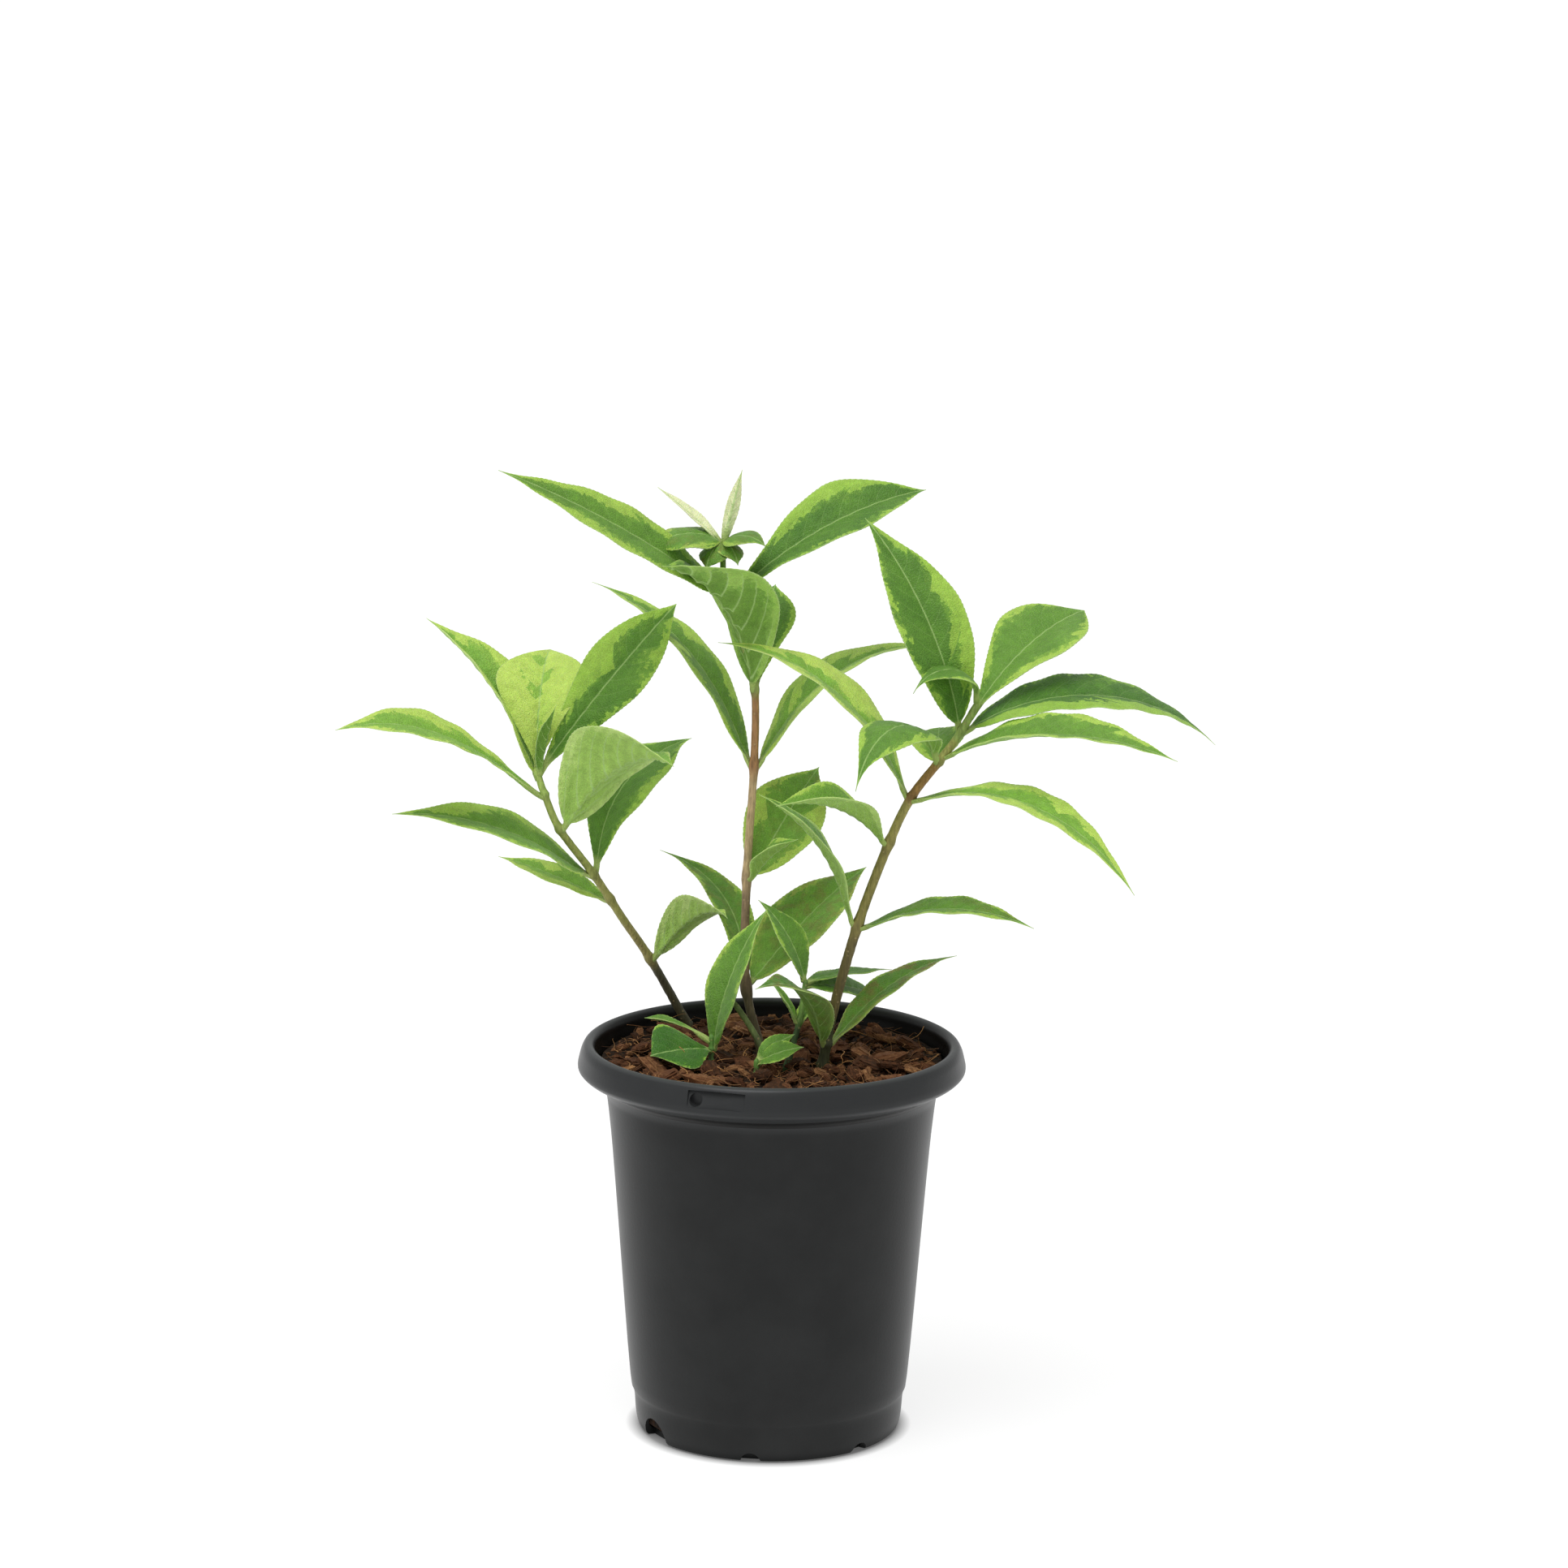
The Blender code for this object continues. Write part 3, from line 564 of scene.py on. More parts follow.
BUD_SHOOT = {
    "nodes": [(-5, -20, FOOT_Z), (-5, -20, 129.5), (-5, -20, 132)],
    "foot": 2.2, "tip": 2.0, "slim": 0.9, "swollen": [], "colours": ["4d6a30", "5f8a3a"]}
SIDE_STALK = {
    "nodes": [(-1, -7, FOOT_Z), (-6, -5, 137), (-13, -2, 147)],
    "foot": 2.3, "tip": 1.9, "slim": 1.0, "swollen": [], "colours": ["5d6a3e", "6f8048"]}


def along(stem, where):
    """The point of a stem's smooth line at a node number, and the direction there."""
    nodes = [Vector(point) for point in stem["nodes"]]
    last = len(nodes) - 1
    index = min(int(where), last - 1)
    t = where - index
    a = nodes[index - 1] if index > 0 else nodes[0] * 2 - nodes[1]
    b, c = nodes[index], nodes[index + 1]
    d = nodes[index + 2] if index + 2 <= last else nodes[last] * 2 - nodes[last - 1]
    point = 0.5 * (2 * b + (c - a) * t + (2 * a - 5 * b + 4 * c - d) * t ** 2
                   + (3 * b - a - 3 * c + d) * t ** 3)
    direction = 0.5 * ((c - a) + 2 * (2 * a - 5 * b + 4 * c - d) * t
                       + 3 * (3 * b - a - 3 * c + d) * t ** 2)
    return point, direction.normalized()


def half_width(stem, where):
    """A stem's radius at a node number: an even taper, with a flare at the foot."""
    share = where / (len(stem["nodes"]) - 1)
    taper = stem["foot"] + (stem["tip"] - stem["foot"]) * share
    return 0.5 * taper * (1.0 + 0.3 * math.exp(-12.0 * where))


def stem_piece(name, stem, *nodes):
    """A stem's bark as one closed tube, from below the chips to the tip, furrowed and swollen."""
    last = len(stem["nodes"]) - 1
    stations = []
    for index in range(last):
        stride = (Vector(stem["nodes"][index + 1]) - Vector(stem["nodes"][index])).length
        count = max(3, round(stride / STEM_STRIDE))
        stations += [index + i / count for i in range(count)]
    rings = [(Vector(stem["nodes"][0]) - Vector((0, 0, BELOW_BARK)), Vector((0, 0, 1)), 0.0)]
    rings += [(*along(stem, where), where) for where in stations + [last]]
    form = bmesh.new()
    tone = form.verts.layers.float_color.new("bark_colour")
    colours = [Vector(linear(code)[:3]) for code in stem["colours"]]
    loops = []
    side = Vector((1, 0, 0))
    for number, (point, direction, where) in enumerate(rings):
        side = (side - direction * side.dot(direction)).normalized()
        across = direction.cross(side)
        radius = stem["slim"] * half_width(stem, where)
        swell = sum(math.exp(-((where - knot) * 12.0) ** 2) for knot in stem["swollen"])
        end = max(0.0, 1.0 - (last - where) * 6.0)
        woody = max(0.0, 1.0 - where / 3.0)
        low = min(int(where), last - 1)
        turning = max(0.0, (where - low - 0.82) / 0.18)
        colour = colours[low].lerp(colours[min(low + 1, last - 1)], turning)
        loop = []
        for k in range(STEM_SIDES):
            angle = math.tau * k / STEM_SIDES
            out = side * math.cos(angle) + across * math.sin(angle)
            spot = point + out * radius
            furrow = noise.noise(Vector((spot.x * 1.6, spot.y * 1.6, spot.z * 0.22)))
            pimple = noise.noise(spot * 0.9)
            bulge = 0.45 * swell + (0.05 + 0.07 * woody) * furrow + 0.05 * pimple - 0.5 * end ** 2 * radius
            loop.append(form.verts.new((point + out * (radius + bulge)) * MM))
            shade = 1.0 + 0.25 * furrow - 0.2 * swell
            loop[-1][tone] = (*[max(0.0, c * shade) for c in colour], 1.0)
        loops.append(loop)
    for a, b in zip(loops, loops[1:]):
        for k in range(STEM_SIDES):
            form.faces.new((a[k], a[(k + 1) % STEM_SIDES], b[(k + 1) % STEM_SIDES], b[k]))
    form.faces.new(loops[0][::-1])
    form.faces.new(loops[-1])
    mesh = bpy.data.meshes.new(name)
    form.to_mesh(mesh)
    form.free()
    mesh.shade_smooth()
    mesh.materials.append(young_bark)
    obj = place(name, mesh)
    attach(obj, "root")
    if nodes:
        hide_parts(*nodes)


# Young bark: a thin cork skin over green, fine lengthwise furrows and pale raised pores
young_bark, tree, shader = new_material("young_weigela_bark", 0.62, Specular_IOR_Level=0.4)
where = node(tree, "ShaderNodeTexCoord").outputs["Object"]
skin = node(tree, "ShaderNodeAttribute", attribute_name="bark_colour").outputs["Color"]
drawn = node(tree, "ShaderNodeMapping", {"Vector": where, "Scale": (1.0, 1.0, 0.16)})
furrows = mottled(drawn.outputs[0], 1500.0, 5.0, 0.6)
pores = node(tree, "ShaderNodeTexVoronoi", {"Vector": where, "Scale": 420.0}).outputs["Distance"]
pore = ranged(pores, 0.2, 0.12)
stained = ranged(mottled(where, 190.0, 3.0), 0.52, 0.72, 0.0, 0.42)
skin = paint(stained, skin, paint(0.55, skin, "3a2c1c"))
skin = paint(1.0, skin, ranged(furrows, 0.35, 0.65, 0.72, 1.18), "MULTIPLY")
skin = paint(maths("MULTIPLY", pore, 0.4), skin, "b8a274")
tree.links.new(skin, shader.inputs["Base Color"])
relief(maths("MULTIPLY_ADD", pore, 0.6, furrows), 0.6, 0.0003)

stem_piece("left_shoot_bark", LEFT_STEM, "left_stem")
stem_piece("centre_shoot_bark", CENTRE_STEM, "centre_stem")
stem_piece("right_shoot_bark", RIGHT_STEM, "right_stem")
stem_piece("front_shoot_bark", FRONT_SHOOT)
stem_piece("back_shoot_bark", BACK_SHOOT)
stem_piece("bud_shoot_bark", BUD_SHOOT)
stem_piece("side_stalk_bark", SIDE_STALK)


# Leaves
# Thin toothed blades on short stalks, soft and matt, green with an uneven lime and cream margin that
# breaks along the side veins. Each grows by the rule of the solid's leaf, with its relief and edge.

LANES = np.array([-1.0, -0.96, -0.86, -0.72, -0.56, -0.4, -0.24, -0.1, 0.0,
                  0.1, 0.24, 0.4, 0.56, 0.72, 0.86, 0.96, 1.0])
STATION = 0.55
STALK_SHARE = 0.035
BASE_SHARE = 0.16
STALK_HALF_WIDTH = 1.15
TIP_HALF_WIDTH = 0.1
TOOTH = 1.65
TOOTH_DEPTH = 0.3
VEIN_LEAN = 1.3


def leaf(turn, rise, length, width, bend=35, roll=0, fold=12, sweep=0, late=1.0, widest=0.44,
         lime=0.3, tone=0.4, uneven=0.0, tipward=0.0, worn=0.0, wave=0.3, quilt=0.25, blunt=0.15):
    """One leaf. Lime is the margin's share of the half blade. Uneven widens it to the right and
    tipward to the tip. Tone runs from deep green to pale at one, and a little more makes it paler
    still. Worn brings brown stains. Wave is the ripple of the edge, quilt the swelling between the
    side veins, and blunt rounds the tip."""
    return {"turn": turn, "rise": rise, "length": length, "width": width, "bend": bend, "roll": roll,
            "fold": fold, "sweep": sweep, "late": late, "widest": widest, "lime": lime, "tone": tone,
            "uneven": uneven, "tipward": tipward, "worn": worn, "wave": wave, "quilt": quilt,
            "blunt": blunt}


def pointing(shape):
    """The directions along a leaf, to its side and out of its upper face."""
    turn = math.radians(shape["turn"])
    rise = math.radians(shape["rise"])
    ahead = Vector((math.cos(rise) * math.cos(turn), math.cos(rise) * math.sin(turn), math.sin(rise)))
    side = Vector((math.sin(turn), -math.cos(turn), 0.0))
    side = Matrix.Rotation(-math.radians(shape["roll"]), 3, ahead) @ side
    return ahead, side, side.cross(ahead)


def bow(bend, share):
    """How high an even arc of this bend stands over its chord of length one."""
    half = math.radians(bend) / 2.0
    if abs(half) < 0.001:
        return 0.0 * share
    radius = 0.5 / math.sin(half)
    return math.copysign(1.0, radius) * np.sqrt(radius ** 2 - (share - 0.5) ** 2) - 0.5 / math.tan(half)


def blade(share, widest, blunt):
    """The outline of a leaf: its half width at a share of its length, one at the widest place."""
    grown = share ** (math.log(0.5) / math.log(widest))
    return np.maximum(0.0, np.sin(math.pi * grown)) ** (0.75 + (0.75 - blunt) * share)


def leaf_root(stem, where, shape, ringed):
    """Where a leaf's stalk leaves the stem, just inside the bark, and where its blade's line starts."""
    point, direction = along(stem, where)
    radius = half_width(stem, where)
    reach = 0.3 * radius
    if ringed:
        reach = (radius + GAP) / math.cos(math.pi / COLLAR_STEPS) + COLLAR_TUBE
    ahead = pointing(shape)[0]
    away = (ahead - direction * ahead.dot(direction)).normalized()
    return point + (away * 0.3 - direction * 0.5) * radius, point + away * reach


def grown_leaf(shape, start, root, seed):
    """The rings of points round one leaf's blade, and what each point tells the material."""
    ahead, side, face = (np.array(v) for v in pointing(shape))
    length = shape["length"]
    count = max(20, round(length / STATION))
    share = np.linspace(0.0, 1.0, count + 1)[:, None]
    grown = np.maximum(0.0, (share - STALK_SHARE) / (1.0 - STALK_SHARE))
    narrow = TIP_HALF_WIDTH + (STALK_HALF_WIDTH - TIP_HALF_WIDTH) * np.clip(1.0 - 2.0 * share, 0.0, 1.0)
    full = 0.5 * shape["width"] * blade(grown, shape["widest"], shape["blunt"])
    half = np.sqrt(narrow ** 2 + full ** 2)
    leafy = np.clip(full / 3.0, 0.0, 1.0)
    v = LANES[None, :]
    hand = np.sign(v)
    run = share * length
    tooth = (run / TOOTH + 0.37 * hand + seed) % 1.0
    edge = half * v + hand * np.abs(v) ** 8 * TOOTH_DEPTH * (tooth - 0.6) * leafy
    fold = math.radians(shape["fold"]) * np.minimum(1.0, 4.0 * share)
    soft = np.sqrt(edge ** 2 + 0.5) - math.sqrt(0.5)
    spacing = max(4.2, (0.08 + 0.04 * shape["quilt"]) * length)
    vein = (run - np.abs(v) ** 1.5 * half * VEIN_LEAN) / spacing + 0.5 * (hand < 0)
    near = np.abs((vein % 1.0) - 0.5)
    groove = np.exp(-((0.5 - near) * spacing / 0.75) ** 2)
    inner = np.clip((1.0 - np.abs(v)) * 4.0, 0.0, 1.0) * leafy
    quilt = shape["quilt"] * (0.34 * np.cos(2.0 * math.pi * near) - 0.26 * groove) * inner
    midrib = -0.3 * np.exp(-(edge / 0.7) ** 2) * np.clip(share * 12.0, 0.0, 1.0) * (1.0 - 0.6 * share)
    arch = 0.2 * full * np.abs(v) * (1.0 - np.abs(v))
    ripple = (shape["wave"] * np.abs(v) ** 2.5 * leafy
              * np.sin(run / (17.0 + 4.0 * np.sin(seed)) * math.tau + seed * 3.0 + 1.7 * hand))
    lift = soft * np.sin(fold) + quilt + midrib + arch + ripple
    out = edge * np.cos(fold)
    spine_up = bow(shape["bend"], share ** shape["late"]) * length
    spine_by = bow(shape["sweep"], share) * length
    points = (root + run[..., None] * ahead + (spine_up + lift)[..., None] * face
              + (spine_by + out)[..., None] * side)
    points += (np.clip(1.0 - share / BASE_SHARE, 0.0, 1.0) ** 2)[..., None] * (start - root)
    down = np.gradient(points, axis=0)
    over = np.gradient(points, axis=1)
    normal = np.cross(over, down)
    normal /= np.maximum(np.linalg.norm(normal, axis=2, keepdims=True), 1e-9)
    rounded = np.sqrt(np.maximum(0.0, 1.0 - (0.97 * v) ** 2))
    stalk = 1.5 * (1.0 - leafy) * np.clip(2.0 - 6.0 * share, 0.0, 1.0)
    thick = (0.4 + stalk) * rounded ** (1.0 - 0.7 * leafy) * leafy + (1.0 - leafy) * stalk * rounded
    thick += 0.55 * np.exp(-(v * half / 0.7) ** 2) * leafy * (1.0 - 0.7 * share)
    upper = points + normal * 0.35 * np.minimum(thick, 0.5)[..., None]
    lower = upper - normal * np.maximum(thick, 0.12)[..., None]
    rings = np.concatenate([upper, lower[:, ::-1]], axis=1)
    drift = np.sin(run / 9.0 + 5.0 * seed + 2.0 * hand) + np.sin(run / 4.1 + 3.0 * seed - hand)
    lime = (shape["lime"] * (1.0 + shape["uneven"] * v) * (1.0 + shape["tipward"] * (2.0 * share - 1.0))
            * (1.0 + 0.22 * drift))
    flat = 0.0 * (run + v)
    facts = {"along": run + flat, "across": v + flat, "reach": half + flat, "vein": vein,
             "worn": shape["worn"] * (0.4 + 0.6 * share) + flat, "lime": lime,
             "tone": shape["tone"] + flat, "seed": seed + flat, "ribbed": shape["quilt"] + flat}
    facts = {key: np.concatenate([value, value[:, ::-1]], axis=1) for key, value in facts.items()}
    facts["under"] = np.concatenate([flat, flat + 1.0], axis=1)
    return rings, facts


def leaf_piece(name, cad_node, stem, leaves, ringed=False):
    """All leaves of one node or tip as one mesh, with a map that gives each face of a leaf a patch."""
    points, faces, maps = [], [], []
    facts = {}
    total = 0
    row_height = 1.0 / len(leaves)
    for number, (where, shape) in enumerate(leaves):
        seed = 1.37 * number + 0.61 * len(name) + 0.013 * shape["turn"]
        start, root = leaf_root(stem, where, shape, ringed)
        rings, told = grown_leaf(shape, np.array(start), np.array(root), seed)
        count, wide = rings.shape[:2]
        lanes = wide // 2
        points.append(rings.reshape(-1, 3))
        for key, value in told.items():
            facts.setdefault(key, []).append(value.ravel())
        base = row_height * number
        for i in range(count - 1):
            for k in range(wide):
                a, b = i * wide + k, i * wide + (k + 1) % wide
                faces.append((total + a, total + b, total + b + wide, total + a + wide))
                low, high = i / (count - 1), (i + 1) / (count - 1)
                lane = k % lanes
                after = lane + (0.6 if lane == lanes - 1 else 1.0)
                x = 0.005 if k < lanes else 0.505
                u0, u1 = x + 0.48 * low, x + 0.48 * high
                v0, v1 = (base + row_height * (0.03 + 0.94 * (t / lanes)) for t in (lane, after))
                maps += [(u0, v0), (u0, v1), (u1, v1), (u1, v0)]
        for ring_at, flip in ((0, -1), (count - 1, 1)):
            cap = [total + ring_at * wide + k for k in range(wide)][::flip]
            faces.append(cap)
            centre = (0.0025 if flip < 0 else 0.4925, base + 0.5 * row_height)
            maps += [(centre[0] + 0.002 * math.cos(math.tau * k / wide),
                      centre[1] + 0.3 * row_height * math.sin(math.tau * k / wide))
                     for k in range(wide)][::flip]
        total += count * wide
    mesh = bpy.data.meshes.new(name)
    mesh.from_pydata(np.concatenate(points) * MM, [], faces)
    for key, values in facts.items():
        mesh.attributes.new(key, "FLOAT", "POINT").data.foreach_set("value", np.concatenate(values))
    mesh.uv_layers.new(name="OFBake").data.foreach_set("uv", np.array(maps).ravel())
    mesh.shade_smooth()
    mesh.materials.append(leaf_skin)
    obj = place(name, mesh)
    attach(obj, "root")
    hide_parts(cad_node)


# Leaf skin: thin soft-haired cuticle over green tissue, matt above, duller and paler below with the
# veins standing out. A little light passes through the blade.
leaf_skin, tree, shader = new_material("variegated_weigela_leaf", 0.5, Specular_IOR_Level=0.3,
                                       Subsurface_Weight=0.15, Subsurface_Scale=0.001,
                                       Sheen_Weight=0.08, Sheen_Roughness=0.4)
shader.inputs["Subsurface Radius"].default_value = (0.6, 1.0, 0.2)
told = {key: node(tree, "ShaderNodeAttribute", attribute_name=key).outputs["Fac"]
        for key in ("along", "across", "reach", "vein", "lime", "tone", "seed", "under", "worn", "ribbed")}
off_rib = maths("ABSOLUTE", told["across"])
aside = maths("MULTIPLY", told["across"], told["reach"])
from_rib = maths("ABSOLUTE", aside)
flat = node(tree, "ShaderNodeCombineXYZ", {"X": told["along"], "Y": aside, "Z": told["seed"]}).outputs[0]
seeded = node(tree, "ShaderNodeVectorMath", {0: flat, 1: (1.0, 1.0, 37.0)}, operation="MULTIPLY").outputs[0]

# Each strip between two side veins has its own chance, so the green breaks off along the veins
cell_key = node(tree, "ShaderNodeCombineXYZ", {"X": maths("FLOOR", told["vein"]),
                                               "Y": maths("SIGN", told["across"]), "Z": told["seed"]})
luck = node(tree, "ShaderNodeTexWhiteNoise", {"Vector": cell_key.outputs[0]}, noise_dimensions="3D")
ragged = ranged(mottled(seeded, 0.5, 3.0, 0.55), 0.3, 0.7, -0.13, 0.13)
band = maths("MULTIPLY", told["lime"], ranged(luck.outputs["Value"], 0.0, 1.0, 0.35, 1.5))
depth_in = maths("ADD", maths("ADD", maths("SUBTRACT", off_rib, 1.0), band), ragged)
margin = ranged(depth_in, -0.012, 0.02)
halfway = ranged(depth_in, -0.16, -0.12)
second = maths("MULTIPLY", halfway, ranged(luck.outputs["Color"], 0.45, 0.6))

# Green tissue, its paler second layer and the lime to cream margin
cloud = mottled(seeded, 0.09, 3.0)
paler = maths("ADD", told["tone"], maths("MULTIPLY_ADD", cloud, 0.5, -0.25), use_clamp=True)
upper = paint(second, paint(paler, "38681a", "86b642"), paint(paler, "548424", "96c04c"))
upper = paint(margin, upper, paint(paler, "86b238", "bcd662"))
below = paint(second, paint(paler, "689234", "a6ca62"), paint(paler, "7ca844", "b0d06e"))
below = paint(margin, below, paint(paler, "96be52", "c0dc80"))
skin = paint(told["under"], upper, below)
skin = paint(ranged(told["tone"], 1.0, 1.3), skin, "e2e8b8")

# Brown stains on old leaves, most at the tip and the margin
stain = maths("ADD", mottled(seeded, 0.25, 4.0, 0.6), maths("MULTIPLY", off_rib, 0.1))
stain = maths("MULTIPLY", ranged(stain, 0.5, 0.68), told["worn"])
skin = paint(stain, skin, "80683a")

# Veins: the midrib and side veins are pale lines, and a fine net lies between them
near_vein = maths("ABSOLUTE", maths("SUBTRACT", maths("FRACT", told["vein"]), 0.5))
side_vein = maths("MULTIPLY", ranged(near_vein, 0.45, 0.488), ranged(off_rib, 0.95, 0.5))
midrib = ranged(from_rib, 0.36, 0.16)
net = node(tree, "ShaderNodeTexVoronoi", {"Vector": seeded, "Scale": 1.1},
           feature="DISTANCE_TO_EDGE").outputs["Distance"]
net = ranged(net, 0.02, 0.25)
skin = paint(1.0, skin, ranged(net, 0.0, 1.0, 1.06, 0.97), "MULTIPLY")
grain = ranged(mottled(seeded, 3.4, 2.0), 0.3, 0.7, 0.86, 1.14)
skin = paint(1.0, skin, grain, "MULTIPLY")
dapple = ranged(mottled(seeded, 0.35, 4.0, 0.6), 0.3, 0.7, 0.88, 1.12)
skin = paint(1.0, skin, dapple, "MULTIPLY")
# Painted shade and highlight of the quilting: the strips between the side veins are painted darker as shade,
# and a wide band along each vein paler as its lit ridge.
ribbed = maths("MULTIPLY", ranged(told["ribbed"], 0.3, 1.3), ranged(off_rib, 1.0, 0.7))
skin = paint(maths("MULTIPLY", ranged(near_vein, 0.32, 0.06, 0.0, 0.12), ribbed), skin, "4c772c")
skin = paint(maths("MULTIPLY", ranged(near_vein, 0.4, 0.485, 0.0, 0.34), ribbed), skin, "bcd893")
skin = paint(maths("MULTIPLY", side_vein, ranged(told["under"], 0.0, 1.0, 0.14, 0.8)), skin, "a6c878")
skin = paint(maths("MULTIPLY", midrib, 0.6), skin, "a9c97a")

# The very edge of the blade is painted pale, as a thin edge highlight, and the stalk is pale as well
skin = paint(maths("MULTIPLY", ranged(off_rib, 0.965, 0.99), 0.4), skin, "c4d99a")
skin = paint(maths("MULTIPLY", ranged(told["reach"], 2.2, 1.1), ranged(told["along"], 12.0, 6.0)), skin,
             "a2b765")
tree.links.new(skin, shader.inputs["Base Color"])
tree.links.new(ranged(told["under"], 0.0, 1.0, 0.48, 0.62), shader.inputs["Roughness"])
height = maths("MULTIPLY_ADD", side_vein, -0.6, maths("ADD", net, mottled(seeded, 3.2, 2.0)))
relief(height, 0.5, 0.00025)

leaf_piece("left_lower_blades", "left_lower_leaves", LEFT_STEM, [
    (1, leaf(312, 29, 42, 18, bend=90, roll=32, fold=28, lime=0.5, tone=1.0, quilt=0.8))], ringed=True)
leaf_piece("left_side_blades", "left_side_leaves", LEFT_STEM, [
    (2.45, leaf(150, 13, 44, 14, bend=12, roll=10, fold=12, lime=0.5, uneven=-0.4, tone=0.85, wave=0.2))],
    ringed=True)
leaf_piece("left_middle_blades", "left_middle_leaves", LEFT_STEM, [
    (3, leaf(198, 21, 72, 22, bend=46, roll=20, fold=12, lime=0.34, uneven=0.6, tipward=0.8, tone=0.55)),
    (3, leaf(48, 40, 60, 27, bend=50, roll=-10, fold=10, sweep=-50, widest=0.55, lime=0.16, uneven=0.3,
             tipward=0.7, tone=0.35, wave=0.5))], ringed=True)
leaf_piece("left_upper_blades", "left_upper_leaves", LEFT_STEM, [
    (4, leaf(318, 29.5, 57, 38, bend=90, roll=28, fold=30, lime=0.16, tone=0.88, quilt=1.2))], ringed=True)
leaf_piece("left_tip_blades", "left_tip_leaves", LEFT_STEM, [
    (5.0, leaf(199, 20, 76, 21, bend=58, roll=18, fold=12, late=1.3, widest=0.62, lime=0.35,
               uneven=0.7, tipward=0.3, tone=0.85)),
    (5.6, leaf(147, 47, 68, 24, bend=40, fold=35, lime=0.55, tone=0.8)),
    (5.9, leaf(84, 52, 46, 31, bend=95, fold=15, widest=0.6, lime=1.4, tipward=0.3, tone=0.95,
               quilt=0.5, blunt=0.4)),
    (5.8, leaf(14, 50, 73, 23, bend=30, roll=-60, fold=10, widest=0.6, lime=0.45, uneven=-0.8, tipward=0.5,
               tone=0.3, wave=0.5, blunt=0.4)),
    (5.8, leaf(316, 71, 26, 9, bend=10, roll=-30, fold=30, lime=0.0, tone=0.0))])
leaf_piece("centre_lower_blades", "centre_lower_leaves", CENTRE_STEM, [
    (1, leaf(120, 31, 67, 14, bend=38, fold=15, sweep=56, lime=0.2, tipward=0.5, tone=0.4, worn=0.4)),
    (1, leaf(41, 33, 60, 27, bend=24, roll=-10, fold=12, lime=0.14, tone=0.65, worn=0.6, blunt=0.3))],
    ringed=True)
leaf_piece("centre_middle_blades", "centre_middle_leaves", CENTRE_STEM, [
    (2, leaf(55, 39, 50, 27, bend=40, roll=-30, fold=15, lime=0.3, tone=0.6, worn=0.3)),
    (2, leaf(315, 38, 27, 12, bend=30, roll=-20, fold=35, lime=0.2, tone=0.5))], ringed=True)
leaf_piece("centre_upper_blades", "centre_upper_leaves", CENTRE_STEM, [
    (3, leaf(146, 41, 85, 20, bend=58, roll=-5, fold=12, lime=0.4, tipward=0.6, tone=0.5)),
    (3, leaf(23, 30, 74, 23, bend=75, fold=15, lime=0.5, uneven=-0.3, tone=0.65))], ringed=True)
leaf_piece("centre_tip_blades", "centre_tip_leaves", CENTRE_STEM, [
    # This leaf's deep tone is painted shade, for the shade it stands in.
    (4.0, leaf(228, 46, 65, 38, bend=70, fold=30, widest=0.5, lime=0.42, tipward=0.3, tone=0.1,
               quilt=1.1)),
    (4.0, leaf(75, 52, 40, 22, bend=40, fold=12, widest=0.6, lime=0.2, tone=0.35)),
    (6.0, leaf(200, 30, 90, 20, bend=20, roll=42, fold=10, lime=0.35, uneven=0.5, tipward=0.2,
               tone=0.45)),
    (5.9, leaf(20, 26, 78, 28, bend=45, roll=-28, fold=20, widest=0.6, lime=0.25, uneven=-0.75, tone=0.25)),
    (7.0, leaf(190, -5, 24, 20, bend=80, roll=15, fold=-10, lime=0.2, tone=0.4, worn=0.3, wave=0.8,
               blunt=0.4)),
    (7.0, leaf(330, 0, 16, 15, bend=80, roll=-10, fold=-10, lime=0.2, tone=0.4, worn=0.3, wave=0.6,
               blunt=0.4)),
    (7.0, leaf(240, -38, 13, 12, bend=70, fold=-20, lime=0.05, tone=0.5, worn=0.7)),
    (7.0, leaf(300, -32, 12, 10, bend=70, fold=-20, lime=0.05, tone=0.5, worn=0.7)),
    (7.0, leaf(165, 38, 28, 5.5, bend=5, roll=20, fold=25, lime=1.6, tone=1.3, wave=0.2)),
    (7.0, leaf(350, 76, 25, 5, bend=10, roll=80, fold=25, lime=1.6, tone=1.3, wave=0.2))])
leaf_piece("right_base_blades", "right_base_leaves", RIGHT_STEM, [
    (0.45, leaf(235, 35, 46, 20, bend=90, roll=15, fold=8, lime=0.1, tone=0.15, worn=0.6)),
    (0.45, leaf(33, 26, 55, 15, bend=45, fold=12, lime=0.15, tone=0.4, worn=0.9))], ringed=True)
leaf_piece("right_lower_blades", "right_lower_leaves", RIGHT_STEM, [
    (2, leaf(197, 55, 55, 20, bend=54, roll=10, fold=15, lime=0.25, tone=0.45)),
    (2, leaf(336, 6, 60, 16, bend=52, roll=-10, fold=12, lime=0.2, tipward=1.2, tone=0.4, worn=0.3))],
    ringed=True)
leaf_piece("right_middle_blades", "right_middle_leaves", RIGHT_STEM, [
    (3, leaf(215, 21, 46, 21, bend=58, roll=10, fold=35, lime=0.2, tone=0.6))], ringed=True)
leaf_piece("right_upper_blades", "right_upper_leaves", RIGHT_STEM, [
    (4, leaf(168, 37, 79, 22, bend=72, roll=8, fold=15, lime=0.55, uneven=0.3, tone=0.85, worn=0.2)),
    (4, leaf(327, -14, 85, 20, bend=78, roll=-5, fold=12, lime=0.5, uneven=-0.3, tipward=0.5,
             tone=0.8))], ringed=True)
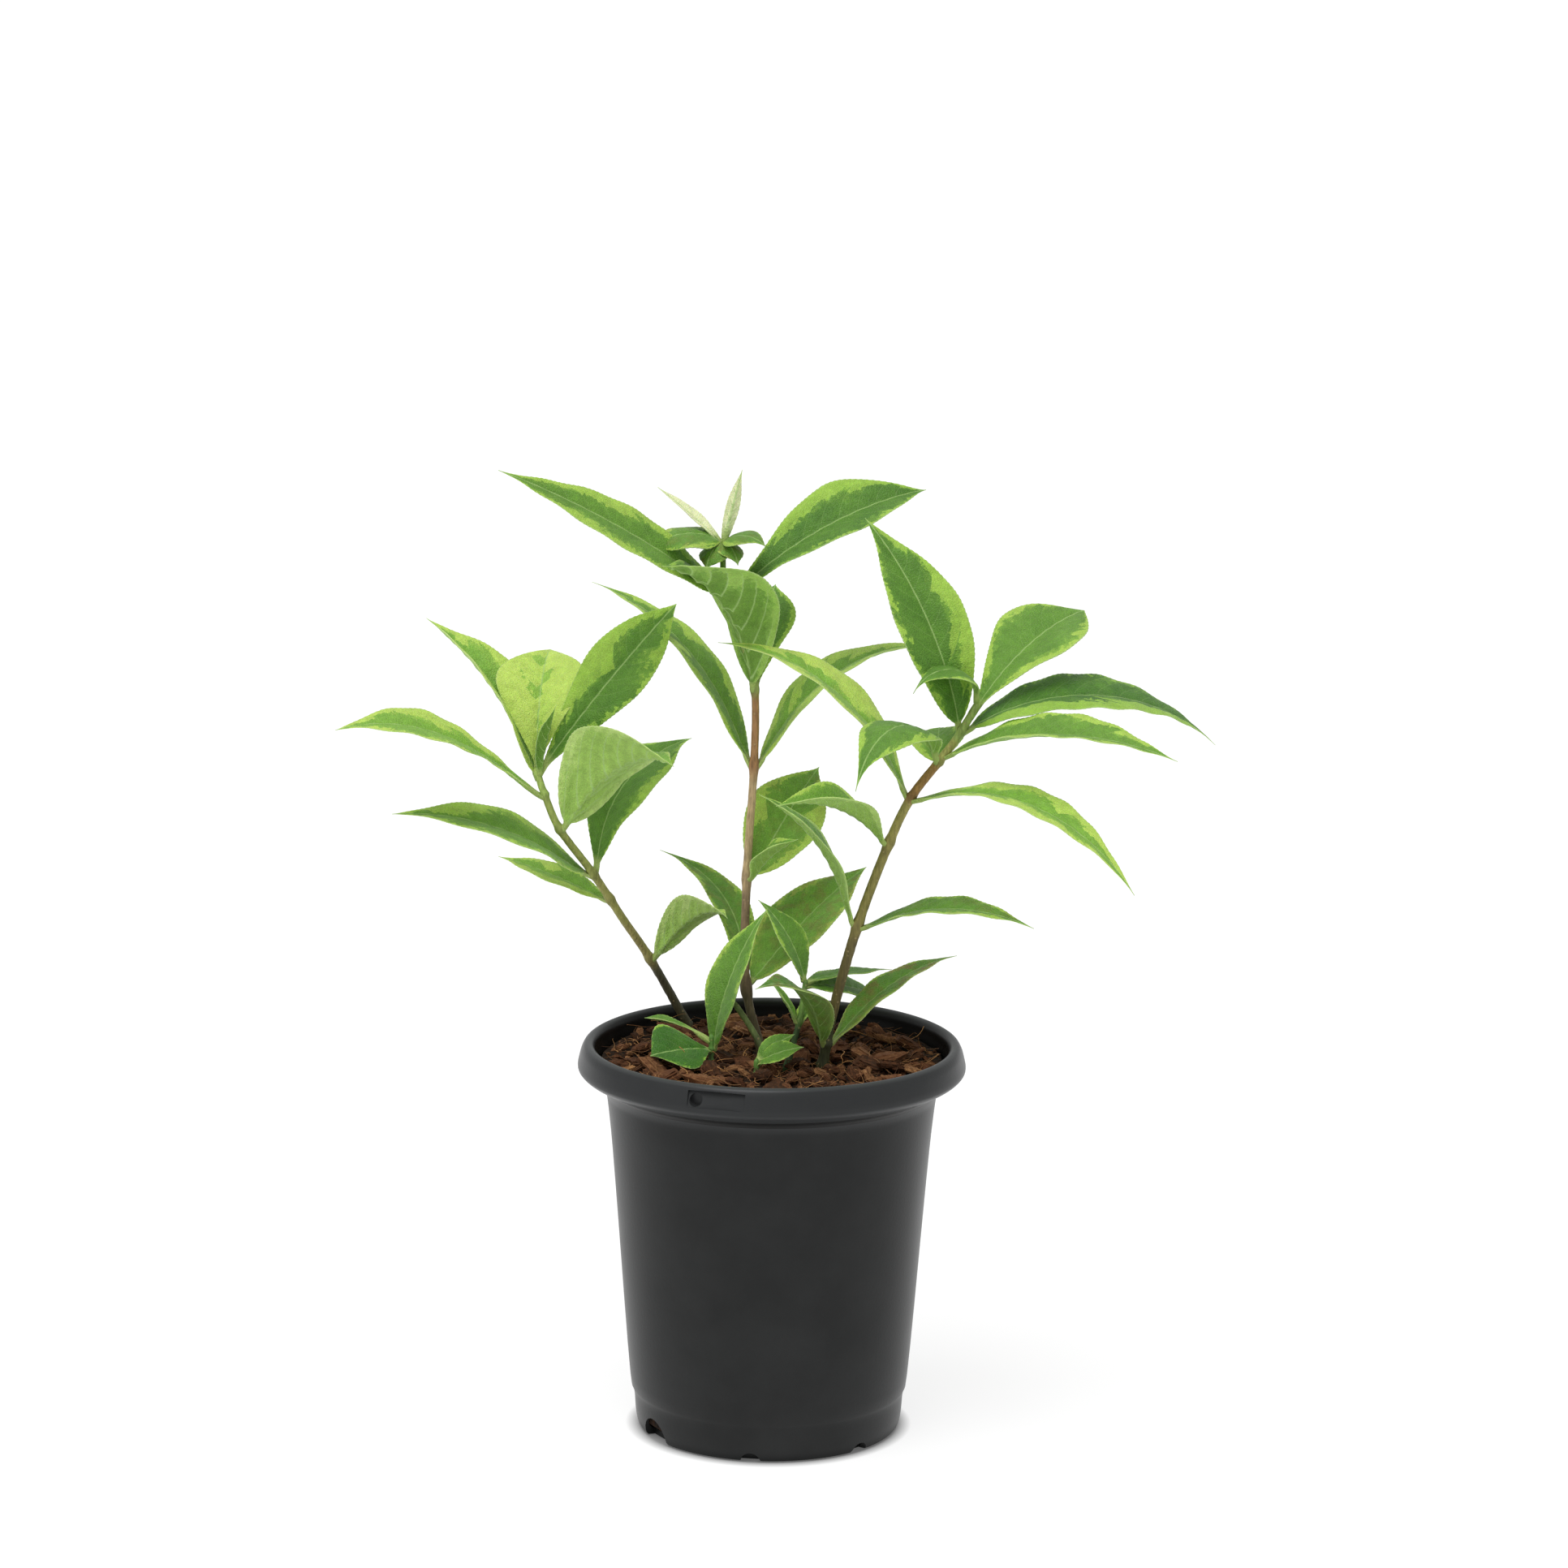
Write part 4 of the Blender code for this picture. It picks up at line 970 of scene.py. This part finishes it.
leaf_piece("right_tip_blades", "right_tip_leaves", RIGHT_STEM, [
    (5.0, leaf(232, -4, 45, 24, bend=145, roll=8, sweep=22, fold=-10, lime=0.22, tone=0.35)),
    (5.0, leaf(88, 14, 27, 19, bend=30, roll=10, fold=12, lime=0.3, tone=0.6)),
    (5.3, leaf(334, 4, 82, 22, bend=45, roll=-12, fold=20, lime=0.3, uneven=-0.4, tone=0.55)),
    (6.2, leaf(149, 61, 77, 26, bend=40, roll=35, fold=15, sweep=14, lime=0.32, uneven=0.7, tone=0.3)),
    (6.6, leaf(42, 30, 60, 31, bend=50, roll=-15, fold=10, widest=0.64, lime=0.2, tone=0.45, blunt=0.4)),
    (6.2, leaf(14, -5, 88, 28, bend=78, roll=-14, fold=7, lime=0.42, uneven=0.9, tone=0.15)),
    (7.0, leaf(208, 10, 25, 15, bend=150, roll=10, fold=-10, lime=0.12, tone=0.3))])
leaf_piece("front_shoot_blades", "front_shoot_leaves", FRONT_SHOOT, [
    (1.0, leaf(350, 70, 52, 18, bend=35, roll=-45, fold=15, lime=0.12, uneven=-0.5, tipward=0.8,
               tone=0.4)),
    # This low leaf by the rim gets the deepest tone as painted shade, for the shade near the pot.
    (1.0, leaf(217, 3, 25, 24, bend=20, roll=25, fold=8, widest=0.58, lime=0.03, tone=0.0)),
    (1.6, leaf(152, 10, 26, 7, bend=30, fold=15, widest=0.75, lime=0.1, tone=0.3))])
leaf_piece("back_shoot_blades", "back_shoot_leaves", BACK_SHOOT, [
    (1.0, leaf(181, 56, 17, 6, bend=10, roll=15, fold=15, lime=0.2, tone=0.5)),
    (1.0, leaf(62, 30, 11, 6, bend=10, fold=15, lime=0.2, tone=0.5)),
    (2.0, leaf(155, 56, 31, 13, bend=50, roll=15, fold=15, lime=0.14, tone=0.35)),
    (2.0, leaf(46, -4, 42, 10, bend=10, fold=5, lime=0.1, tone=0.3)),
    (1.9, leaf(54, -16, 44, 14, bend=20, roll=-30, fold=12, lime=0.1, tone=0.3))])
leaf_piece("bud_shoot_blades", "bud_shoot_leaves", BUD_SHOOT, [
    (1.6, leaf(345, 22, 17, 9, bend=30, roll=-40, fold=12, lime=0.08, tone=0.35)),
    (2.0, leaf(20, 30, 15, 8, bend=30, roll=-30, fold=12, lime=0.08, tone=0.35))])
